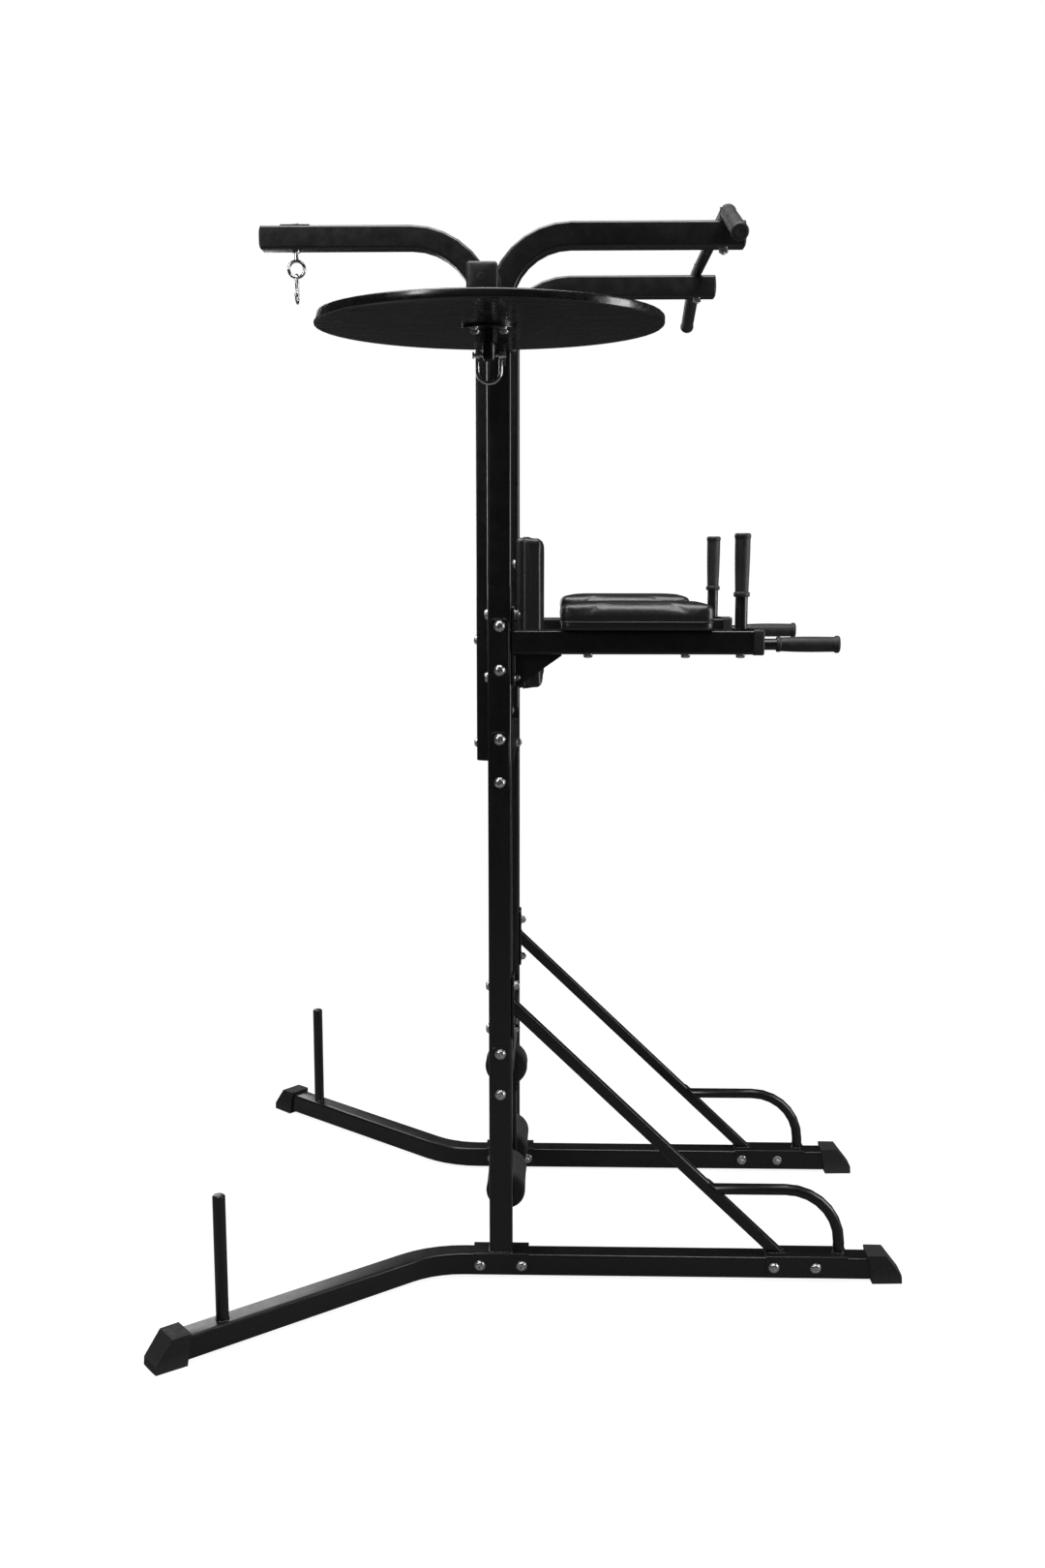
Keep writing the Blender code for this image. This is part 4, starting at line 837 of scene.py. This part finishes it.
def roller_piece(name, node, body, bore):
    """A foam roller: a soft barrel whose ends are drawn in around the bore."""
    half = (high(node).y - low(node).y) / 2
    radius = (high(node).z - low(node).z) / 2
    shoulder = radius - ROLLER_ROUND
    end = half - ROLLER_ROUND
    mouth = [(bore, half - 0.012), (bore, half - 0.003), (bore + 0.004, half - 0.0005), (radius * 0.6, half)]
    profile = [(reach, -along) for reach, along in mouth]
    profile += [(shoulder + ROLLER_ROUND * sin, -end - ROLLER_ROUND * cos) for sin, cos in quarter(6)]
    for step in range(1, ROLLER_ROWS):
        share = step / ROLLER_ROWS
        profile.append((radius - ROLLER_SAG * math.sin(math.pi * share), -end + 2 * end * share))
    profile += [(shoulder + ROLLER_ROUND * cos, end + ROLLER_ROUND * sin) for sin, cos in quarter(6)]
    profile += reversed(mouth)
    centre = middle(node)
    bm = bmesh.new()
    lathe(bm, profile, centre, Y, 64)
    for vertex in bm.verts:
        away = vertex.co - centre
        away.y = 0
        if away.length > bore * 1.5:
            ripple = noise.noise(vertex.co * 22.0) * ROLLER_RIPPLE
            vertex.co += away.normalized() * (ripple - ROLLER_RIPPLE)
    piece = place_piece(name, bm, "roller_foam", body)
    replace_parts(piece, node)


def axle_cap(name, place, axis):
    """A push-on cap over an axle's end."""
    profile = [(0, 0), (AXLE_CAP_R, 0)]
    profile += [(AXLE_CAP_R * cos, AXLE_CAP_RIM + AXLE_CAP_DOME * sin) for sin, cos in quarter(6)[:6]]
    profile.append((0, AXLE_CAP_RIM + AXLE_CAP_DOME))
    bm = bmesh.new()
    lathe(bm, profile, place, axis, 32)
    place_piece(name, bm, "cap_plastic")


def build_rollers():
    """The rollers and the collars, caps and nuts that keep them on their axles."""
    roller_piece("foam_near", "leg_roller_near", "near_roller", ROLLER_BORE)
    roller_piece("foam_far", "leg_roller_far", "far_roller", ROLLER_BORE)
    roller_piece("foam_knee", "knee_roller", "knee_roller", KNEE_BORE)
    axle = middle("leg_roller_near")
    knee = middle("knee_roller")
    for word, side in SIDES.items():
        axis = Y * side
        node = f"leg_roller_{word}"
        inner, outer = sorted(abs(corner.y - CENTRE.y) for corner in (low(node), high(node)))
        place = Vector((axle.x, CENTRE.y + side * (outer + AXLE_CAP_GAP), axle.z))
        axle_cap(f"axle_cap_{word}", place, axis)
        bm = bmesh.new()
        lathe(bm, COLLAR, Vector((axle.x, CENTRE.y + side * (inner - COLLAR_WIDTH), axle.z)), axis, 32)
        place_piece(f"axle_collar_{word}", bm, "cap_plastic")
        fork = Vector((knee.x, CENTRE.y + side * FORK_HALF, knee.z))
        bm = bmesh.new()
        add_washer(bm, fork, axis)
        add_hex(bm, fork + axis * WASHER_HEIGHT, axis, HEX_R, NUT_HEIGHT)
        place_piece(f"knee_nut_{word}", bm, "bolt_zinc", smooth=SMOOTH_BOLT)


# ---- shoes and caps

# Shoes: a side view from the rail's end (along, height), half width, and how far it spreads and draws in
SHOE_VIEW = ((-0.032, 0.0635), (0.0088, 0.0635), (0.045, 0.0175), (0.046, 0.0), (-0.021, 0.0))
SHOE_HEIGHT = 0.0635
SHOE_HALF = 0.0297
SHOE_SPREAD = 0.06
SHOE_PINCH = 0.1
SHOE_NOSE = 0.045
SHOE_FLANK = 0.985
SHOE_SHARP = math.radians(28)
SHOE_BEVEL = 0.0036

# Moulded caps on the tubes' ends
CAP_EDGE = 0.0035
CAP_DOME_EDGE = 0.0185
CAP_CORNER = 0.0062
CAP_TIP = 0.005
CAP_GAP = 0.0003
CAP_SEAM = 0.0007
FLAT_SHOULDER = 0.6
DOME_SHOULDER = 0.96
DOMED = ("bag_arm_cap", "platform_arm_cap")

# Plugs: the CAD node, the tube it closes, and the way it looks
PLUGS = (
    ("pull_up_arm_cap_near", "pull_up_arm_near", X),
    ("pull_up_arm_cap_far", "pull_up_arm_far", X),
    ("platform_arm_cap", "platform_arm", -Y),
    ("bag_arm_cap", "bag_arm", -X),
    ("bag_upright_cap", "bag_arm", -Z),
)
DIP_CAP_SKIRT = 0.016
DIP_CAP_SHOULDER = 0.0058
DIP_CAP_RISE = 0.0063
DIP_CAP_LIP = 0.002


def shoe_piece(name, node, outward):
    """A rubber shoe over a rail's end, with a sloping nose and rounded edges."""
    bm = bmesh.new()
    rows = []
    for share in (-1, -0.5, 0, 0.5, 1):
        row = []
        for along, height in SHOE_VIEW:
            width = SHOE_HALF * (1 + SHOE_SPREAD * (1 - height / SHOE_HEIGHT))
            pinch = 1 - SHOE_PINCH * max(0.0, along) / SHOE_NOSE * share ** 2
            reach = along * (1 if abs(share) < 1 else SHOE_FLANK)
            row.append(bm.verts.new((reach, share * width * pinch, height)))
        rows.append(row)
    skin(bm, rows)
    sharp = [edge for edge in bm.edges if len(edge.link_faces) == 2 and edge.calc_face_angle(0) > SHOE_SHARP]
    rounding = {"offset": SHOE_BEVEL, "segments": 4, "profile": 0.5, "affect": "EDGES", "clamp_overlap": True}
    bmesh.ops.bevel(bm, geom=sharp, **rounding)
    spin = Matrix.Rotation(math.atan2(outward.y, outward.x), 4, "Z")
    bmesh.ops.transform(bm, matrix=spin, verts=bm.verts)
    xs = [vertex.co.x for vertex in bm.verts]
    ys = [vertex.co.y for vertex in bm.verts]
    centre = Vector(((min(xs) + max(xs)) / 2, (min(ys) + max(ys)) / 2, 0))
    shift = middle(node) - centre
    bmesh.ops.translate(bm, verts=bm.verts, vec=Vector((shift.x, shift.y, 0)))
    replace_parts(place_piece(name, bm, "foot_rubber", smooth=SMOOTH_PLATE), node)


def build_shoes():
    """Four rubber shoes."""
    for word, side in SIDES.items():
        rear = Vector((-math.cos(SPLAY), side * math.sin(SPLAY), 0))
        shoe_piece(f"shoe_front_{word}", f"foot_cap_front_{word}", X)
        shoe_piece(f"shoe_rear_{word}", f"foot_cap_rear_{word}", rear)


def cap_piece(name, end, outward, shoulder, rise, edge=CAP_EDGE, skirt=0.0, lip=0.0):
    """A moulded cap on a square tube's end: a skirt if it has one, a round edge and a crowned face."""
    flat = Y if abs(outward.y) < 0.5 else Z
    across = flat.cross(outward)
    base = shoulder - edge if skirt else CAP_SEAM
    levels = [(-skirt, 0.0) if skirt else (CAP_GAP, CAP_SEAM)]
    levels += [(base + (shoulder - base) * sin, edge * (1 - cos)) for sin, cos in quarter(8)]
    for step in range(1, 6):
        share = step / 5
        inset = edge + (HALF_TUBE - CAP_TIP - edge) * share
        levels.append((shoulder + (rise - shoulder) * (1 - (1 - share) ** 2), inset))
    bm = bmesh.new()
    rings = []
    for height, inset in levels:
        reach = HALF_TUBE + lip - inset
        outline = rounded_outline(2 * reach, 2 * reach, min(reach * 0.96, CAP_CORNER + inset * 0.35))
        rings.append(ring_at(bm, end + outward * height, across, flat, outline))
    skin(bm, rings)
    return place_piece(name, bm, "cap_plastic", smooth=SMOOTH_CAP)


def build_caps():
    """Plugs in the tubes' ends, and the caps around the dip arms' ends."""
    for node, tube, outward in PLUGS:
        corner = high if max(outward) > 0.5 else low
        plug = middle(node)
        end = plug + outward * (corner(tube) - plug).dot(outward)
        rise = (corner(node) - end).dot(outward)
        share, edge = (DOME_SHOULDER, CAP_DOME_EDGE) if node in DOMED else (FLAT_SHOULDER, CAP_EDGE)
        piece = cap_piece(f"plug_{node}", end, outward, rise * share, rise, edge)
        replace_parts(piece, node)
    for word in SIDES:
        height = low(f"arm_pad_{word}").z - HALF_TUBE
        end = Vector((high(f"dip_arm_{word}").x, middle(f"arm_pad_{word}").y, height))
        shape = (DIP_CAP_SHOULDER, DIP_CAP_RISE, CAP_EDGE, DIP_CAP_SKIRT, DIP_CAP_LIP)
        cap_piece(f"dip_cap_{word}", end, X, *shape)


# ---- hanging fittings

# Eye bolt: the ring's middle above its lowest point, its radius and wire, and the neck above the middle. The
# cover plate has two sides and a corner, and levels of height and inset; its nut has radius, height and thread
EYE_DROP = 0.021
EYE_R = 0.0175
EYE_WIRE = 0.0035
EYE_NECK = 0.0195
COVER = (0.066, 0.036, 0.006)
COVER_LEVELS = ((0.0003, 0.0), (0.0026, 0.0), (0.0033, 0.0007))
COVER_TOP = 0.0033
COVER_NUT = (0.0078, 0.0042, 0.0026)
RIVET_X = 0.0265
RIVET = ((0, 0), (0.0046, 0), (0.0042, 0.0014), (0.0026, 0.0024), (0, 0.0027))

# Snap hook: its wire, the wire's middle from the CAD box, and the gaps at the gate's ends. The ears are an
# outline from the wire's heel with an inner and an outer X, and the pivot is a pin along X
HOOK_WIRE = 0.003
HOOK_EDGE = 0.0028
HOOK_NOSE_GAP = 0.0006
HOOK_HEEL_GAP = 0.0012
EAR = (
    (-0.0028, -0.0016), (0.0028, -0.0016), (0.0028, 0.0036),
    (0.0012, 0.0056), (-0.0012, 0.0056), (-0.0028, 0.0036),
)
EAR_X = (0.0027, 0.0036)
PIVOT = ((0, 0), (0.0012, 0.0002), (0.0012, 0.0078), (0, 0.008))
PIVOT_SHIFT = (-0.004, 0.0025)

# Shackle: its wire, the wire's middle from the CAD box, the pin below the top, and an eye's section. The
# flange's screws stand on a circle, with the head's radius and height
SHACKLE_WIRE = 0.0034
SHACKLE_EDGE = 0.0035
SHACKLE_PIN = 0.0068
SHACKLE_EYE = (
    (0.0036, 0), (0.0066, 0), (0.007, 0.0005), (0.007, 0.0063),
    (0.0066, 0.0068), (0.0036, 0.0068), (0.0036, 0),
)
FLANGE_SCREW_R = 0.036
FLANGE_DEPTH = 0.004
SCREW_HEAD = (0.0066, 0.004)
SCREW_WASHER = ((0, 0), (0.0085, 0), (0.0085, 0.001), (0, 0.001))


def eye_piece():
    """The eye bolt: cover plate and nut on the arm, and a forged eye below it."""
    arm_high = high("bag_arm").z
    centre = Vector((middle("eye_bolt").x, CENTRE.y, low("eye_bolt").z + EYE_DROP))
    neck = centre + Z * EYE_NECK
    collar = arm_high - 2 * HALF_TUBE - neck.z
    bm = bmesh.new()
    tube_along(bm, ring_points(centre, X, Z, EYE_R, EYE_R, 48), EYE_WIRE, Y, 16, closed=True)
    profile = [(0, 0), (0.0052, 0.0), (0.0046, 0.004), (0.0042, 0.009), (0.0042, collar - 0.004)]
    profile += [(0.0088, collar - 0.004), (0.0092, collar - 0.003)]
    profile += [(0.0092, collar - 0.0004), (0, collar - 0.0004)]
    lathe(bm, profile, neck, Z, 28)
    piece = place_piece("eye_ring", bm, "fitting_chrome")
    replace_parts(piece, "eye_bolt")
    bm = bmesh.new()
    rings = []
    length, width, corner = COVER
    for height, inset in COVER_LEVELS:
        outline = rounded_outline(length - 2 * inset, width - 2 * inset, corner - inset)
        rings.append(ring_at(bm, Vector((centre.x, centre.y, arm_high + height)), X, Y, outline))
    skin(bm, rings)
    place_piece("eye_plate", bm, "frame_black", smooth=SMOOTH_PLATE)
    bm = bmesh.new()
    top = Vector((centre.x, centre.y, arm_high + COVER_TOP))
    radius, height, thread = COVER_NUT
    add_hex(bm, top, Z, radius, height)
    add_thread(bm, top + Z * height, Z, thread)
    for sign in (-1, 1):
        lathe(bm, RIVET, top + X * sign * RIVET_X, Z, 20)
    place_piece("eye_nut", bm, "bolt_zinc", smooth=SMOOTH_BOLT)


def hook_piece():
    """The snap hook with its gate's hinge ears and pivot, and the gate."""
    centre = middle("snap_hook")
    half = (high("snap_hook").y - low("snap_hook").y) / 2 - HOOK_EDGE
    top = high("snap_hook").z - HOOK_EDGE - half
    bottom = low("snap_hook").z + HOOK_EDGE + half
    gate_low = low("hook_gate").z
    gate_high = high("hook_gate").z
    turns = [math.pi * step / 16 for step in range(17)]
    run = [(-half, gate_high + HOOK_NOSE_GAP)]
    run += [(-half * math.cos(turn), top + half * math.sin(turn)) for turn in turns]
    run += [(half * math.cos(turn), bottom - half * math.sin(turn)) for turn in turns]
    run.append((-half, gate_low - HOOK_HEEL_GAP))
    bm = bmesh.new()
    tube_along(bm, [Vector((centre.x, centre.y + y, z)) for y, z in run], HOOK_WIRE, X, 14)
    heel = Vector((centre.x, centre.y - half, gate_low - HOOK_HEEL_GAP))
    for sign in (-1, 1):
        skin(bm, [ring_at(bm, heel + X * sign * reach, Y, Z, EAR) for reach in EAR_X])
    shift_x, shift_z = PIVOT_SHIFT
    pivot = Vector((centre.x + shift_x, centre.y - half, gate_low + shift_z))
    lathe(bm, PIVOT, pivot, X, 16)
    piece = place_piece("hook_body", bm, "fitting_chrome", "hook")
    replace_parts(piece, "snap_hook")
    length = gate_high - gate_low
    profile = [(0, 0), (0.0016, 0.0001), (0.0024, 0.0009)]
    profile += [(0.0025, 0.003), (0.0022, 0.007), (0.0022, length - 0.006), (0.0026, length - 0.0045)]
    profile += [(0.0026, length - 0.001), (0.0018, length - 0.0002), (0, length)]
    bm = bmesh.new()
    lathe(bm, profile, Vector((centre.x, centre.y - half, gate_low)), Z, 20)
    piece = place_piece("hook_gate_bar", bm, "fitting_chrome", "gate")
    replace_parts(piece, "hook_gate")


def shackle_piece():
    """The bow shackle under the board with its eyes, and the flange's screws."""
    centre = middle("shackle")
    half = (high("shackle").x - low("shackle").x) / 2 - SHACKLE_EDGE
    pin_z = high("shackle").z - SHACKLE_PIN
    bow_z = low("shackle").z + SHACKLE_EDGE + half
    turns = [math.pi * step / 24 for step in range(25)]
    run = [(-half, pin_z - 0.004)]
    run += [(-half * math.cos(turn), bow_z - half * math.sin(turn)) for turn in turns]
    run.append((half, pin_z - 0.004))
    bm = bmesh.new()
    tube_along(bm, [Vector((centre.x + x, centre.y, z)) for x, z in run], SHACKLE_WIRE, Y, 16)
    for sign in (-1, 1):
        eye = Vector((centre.x + sign * half - SHACKLE_WIRE, centre.y, pin_z))
        lathe(bm, SHACKLE_EYE, eye, X, 28)
    piece = place_piece("shackle_bow", bm, "fitting_chrome", "shackle")
    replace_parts(piece, "shackle")
    flange = middle("swivel_flange")
    under = Vector((flange.x, flange.y, high("swivel_flange").z - FLANGE_DEPTH))
    for number, (u, v) in enumerate(circle(FLANGE_SCREW_R, 4, 0.5)):
        place = under + X * u + Y * v
        bm = bmesh.new()
        add_hex(bm, place, -Z, *SCREW_HEAD)
        lathe(bm, SCREW_WASHER, place, -Z, 24)
        place_piece(f"flange_screw_{number + 1}", bm, "bolt_zinc", smooth=SMOOTH_BOLT)


# ---- pads

# Cloth simulation of the cushions
CLOTH_FRAMES = 20
CLOTH_VOXEL = 0.005
CLOTH = {
    "quality": 6,
    "mass": 0.3,
    "tension_stiffness": 15.0,
    "compression_stiffness": 15.0,
    "bending_stiffness": 1.0,
    "use_pressure": True,
    "uniform_pressure_force": 4.0,
    "vertex_group_mass": "held",
}
SEAM_HEIGHT = 0.006

# Pads: corner radii at both ends, rounding of the top edge, room left for the swell, and its limit
ARM_PAD = ((0.02, 0.02), 0.013, 0.0065, 0.006)
BACK_PAD = ((0.011, 0.006), 0.008, 0.003, 0.003)
BOARD_SHARE = 0.27
BOARD_LEVELS = ((0.0, 0.005), (0.1, 0.002), (0.3, 0.0006), (0.75, 0.0004), (1.0, 0.0018))
WELT_R = 0.0024
WELT_RISE = 0.0004
WELT_SPACING = 0.006
FACING_X = Matrix(((0, 0, 1, 0), (0, 1, 0, 0), (-1, 0, 0, 0), (0, 0, 0, 1)))


def corner_outline(length, width, corner_low, corner_high, inset=0.0):
    """A rectangle whose corners have one radius on its -X side and another on its +X side."""
    sides = []
    for corner in (corner_low, corner_high):
        radius = max(corner - inset, 0.003)
        sides.append(rounded_outline(length - 2 * inset, width - 2 * inset, radius, 6))
    return [first if first[0] < 0 else second for first, second in zip(*sides)]


def cushion_mesh(length, width, rise, corners, edge):
    """A block with round vertical corners and a rounded top, standing on its seam at height zero."""
    levels = [(0.0, 0.0), (0.35, -0.0004)]
    levels += [(1 - edge / rise * (1 - sin), edge * (1 - cos)) for sin, cos in quarter(5)]
    outlines = [(rise * level, corner_outline(length, width, *corners, inset)) for level, inset in levels]
    bm = bmesh.new()
    skin(bm, [ring_at(bm, Z * height, X, Y, outline) for height, outline in outlines])
    return mesh_of("cushion", bm)


def applied(thing):
    """Replaces an object's mesh by its evaluated one, without modifiers."""
    graph = bpy.context.evaluated_depsgraph_get()
    mesh = bpy.data.meshes.new_from_object(thing.evaluated_get(graph))
    thing.modifiers.clear()
    thing.data = mesh


def inflate(thing, cap):
    """Blows the cushion up a little by cloth simulation, with its seam held, and no further than a cap."""
    remesh = thing.modifiers.new("Remesh", "REMESH")
    remesh.mode = "VOXEL"
    remesh.voxel_size = CLOTH_VOXEL
    applied(thing)
    start = [vertex.co.copy() for vertex in thing.data.vertices]
    held = thing.vertex_groups.new(name="held")
    held.add([index for index, place in enumerate(start) if place.z < SEAM_HEIGHT], 1.0, "REPLACE")
    cloth = thing.modifiers.new("Cloth", "CLOTH")
    for setting, value in CLOTH.items():
        setattr(cloth.settings, setting, value)
    cloth.settings.effector_weights.gravity = 0.0
    cloth.point_cache.frame_start = 1
    cloth.point_cache.frame_end = CLOTH_FRAMES
    for step in range(1, CLOTH_FRAMES + 1):
        bpy.context.scene.frame_set(step)
    applied(thing)
    bpy.context.scene.frame_set(1)
    for vertex, place in zip(thing.data.vertices, start):
        moved = vertex.co - place
        if moved.length > cap:
            vertex.co = place + moved.normalized() * cap


def pad_set(name, node, turn, size, corners, edge, swell, cap):
    """A pad: a covered board, a welt round its seam and a crowned cushion, seen along the pad's own axes."""
    length, width, depth = size
    board = depth * BOARD_SHARE
    place = Matrix.Translation(middle(node)) @ turn @ Matrix.Translation((0, 0, -depth / 2))
    mesh = cushion_mesh(length, width - 0.004, depth - board - swell, corners, edge)
    cushion = add_object(f"{name}_cushion", mesh)
    inflate(cushion, cap)
    cushion.data.transform(place @ Matrix.Translation((0, 0, board)))
    cushion.data.materials.clear()
    cushion.data.materials.append(FINISHES["pad_vinyl"])
    cushion.data.shade_smooth()
    subdivide = cushion.modifiers.new("Subdivision", "SUBSURF")
    subdivide.levels = 1
    subdivide.render_levels = 1
    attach(cushion, "root")
    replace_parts(cushion, node)
    bm = bmesh.new()
    rings = []
    for level, inset in BOARD_LEVELS:
        outline = corner_outline(length - 0.002, width - 0.004, *corners, inset)
        rings.append(ring_at(bm, Z * board * level, X, Y, outline))
    skin(bm, rings)
    bmesh.ops.transform(bm, matrix=place, verts=bm.verts)
    place_piece(f"{name}_board", bm, "pad_vinyl", smooth=SMOOTH_BOARD)
    outline = corner_outline(length - 0.0032, width - 0.0052, *corners)
    welt = [Vector((u, v, board + WELT_RISE)) for u, v in outline]
    bm = bmesh.new()
    tube_along(bm, resampled(welt, WELT_SPACING), WELT_R, Z, 10, closed=True)
    bmesh.ops.transform(bm, matrix=place, verts=bm.verts)
    place_piece(f"{name}_welt", bm, "pad_vinyl")


def build_pads():
    """Two arm pads that face up and a back pad that faces +X."""
    for word in SIDES:
        node = f"arm_pad_{word}"
        pad_set(f"{node}_skin", node, Matrix.Identity(4), high(node) - low(node), *ARM_PAD)
    size = high("back_pad") - low("back_pad")
    pad_set("back_pad_skin", "back_pad", FACING_X, (size.z, size.y, size.x), *BACK_PAD)


# ---- stage


def build_floor():
    """A pale floor that looks white to the camera and fades out with the distance."""
    bm = bmesh.new()
    corners = [(-FLOOR_REACH, -FLOOR_REACH), (FLOOR_REACH, -FLOOR_REACH)]
    corners += [(FLOOR_REACH, FLOOR_REACH), (-FLOOR_REACH, FLOOR_REACH)]
    bm.faces.new([bm.verts.new((x, y, -FLOOR_DROP)) for x, y in corners])
    floor = add_object("floor", mesh_of("floor", bm))
    paper = Finish("paper", (FLOOR_GREY, FLOOR_GREY, FLOOR_GREY), 0.95)
    paper.set("Specular IOR Level", 0.0)
    paper.set("Emission Color", (1.0, 1.0, 1.0, 1.0))
    reach = paper.add("VectorMath", {0: paper.place})
    reach.operation = "LENGTH"
    lift = paper.spread(reach.outputs["Value"], *FLOOR_FADE, *FLOOR_LIFT)
    paper.link(paper.times(lift, paper.add("LightPath", {}).outputs["Is Camera Ray"]), "Emission Strength")
    floor.data.materials.append(paper.material)


def build_stage():
    """A pale floor under plain soft light, and the camera."""
    build_floor()
    scene = bpy.context.scene
    world = bpy.data.worlds.new("studio")
    world.use_nodes = True
    tree = world.node_tree
    background = tree.nodes["Background"]
    background.inputs["Color"].default_value = (1.0, 1.0, 1.0, 1.0)
    path = tree.nodes.new("ShaderNodeLightPath")
    level = tree.nodes.new("ShaderNodeMapRange")
    level.inputs["To Min"].default_value = AMBIENT
    level.inputs["To Max"].default_value = 1.0
    tree.links.new(path.outputs["Is Camera Ray"], level.inputs["Value"])
    tree.links.new(level.outputs["Result"], background.inputs["Strength"])
    scene.world = world
    for name, place, target, width, height, power in LIGHTS:
        light = bpy.data.lights.new(name, "AREA")
        light.shape = "RECTANGLE"
        light.size = width
        light.size_y = height
        light.energy = power
        lamp = add_object(name, light)
        lamp.location = place
        lamp.rotation_euler = (Vector(target) - Vector(place)).to_track_quat("-Z", "Y").to_euler()
    camera = bpy.data.cameras.new("camera")
    camera.lens = CAMERA_LENS
    camera.sensor_width = SENSOR_WIDTH
    camera.sensor_fit = "AUTO"
    viewer = add_object("camera", camera)
    viewer.location = CENTRE + CAMERA_PLACE
    viewer.rotation_euler = (math.pi / 2 - CAMERA_PITCH, 0.0, CAMERA_YAW)
    scene.camera = viewer
    scene.view_settings.view_transform = "Standard"


# ---- assembly

build_stage()
for entry in frame["record"]["subparts"]:
    dress_node(entry["node"], entry["material_slot"])
cross_bolt_sets()
frame_bolts()
frame_welds()
build_grips()
build_rollers()
build_shoes()
build_caps()
eye_piece()
hook_piece()
shackle_piece()
build_pads()
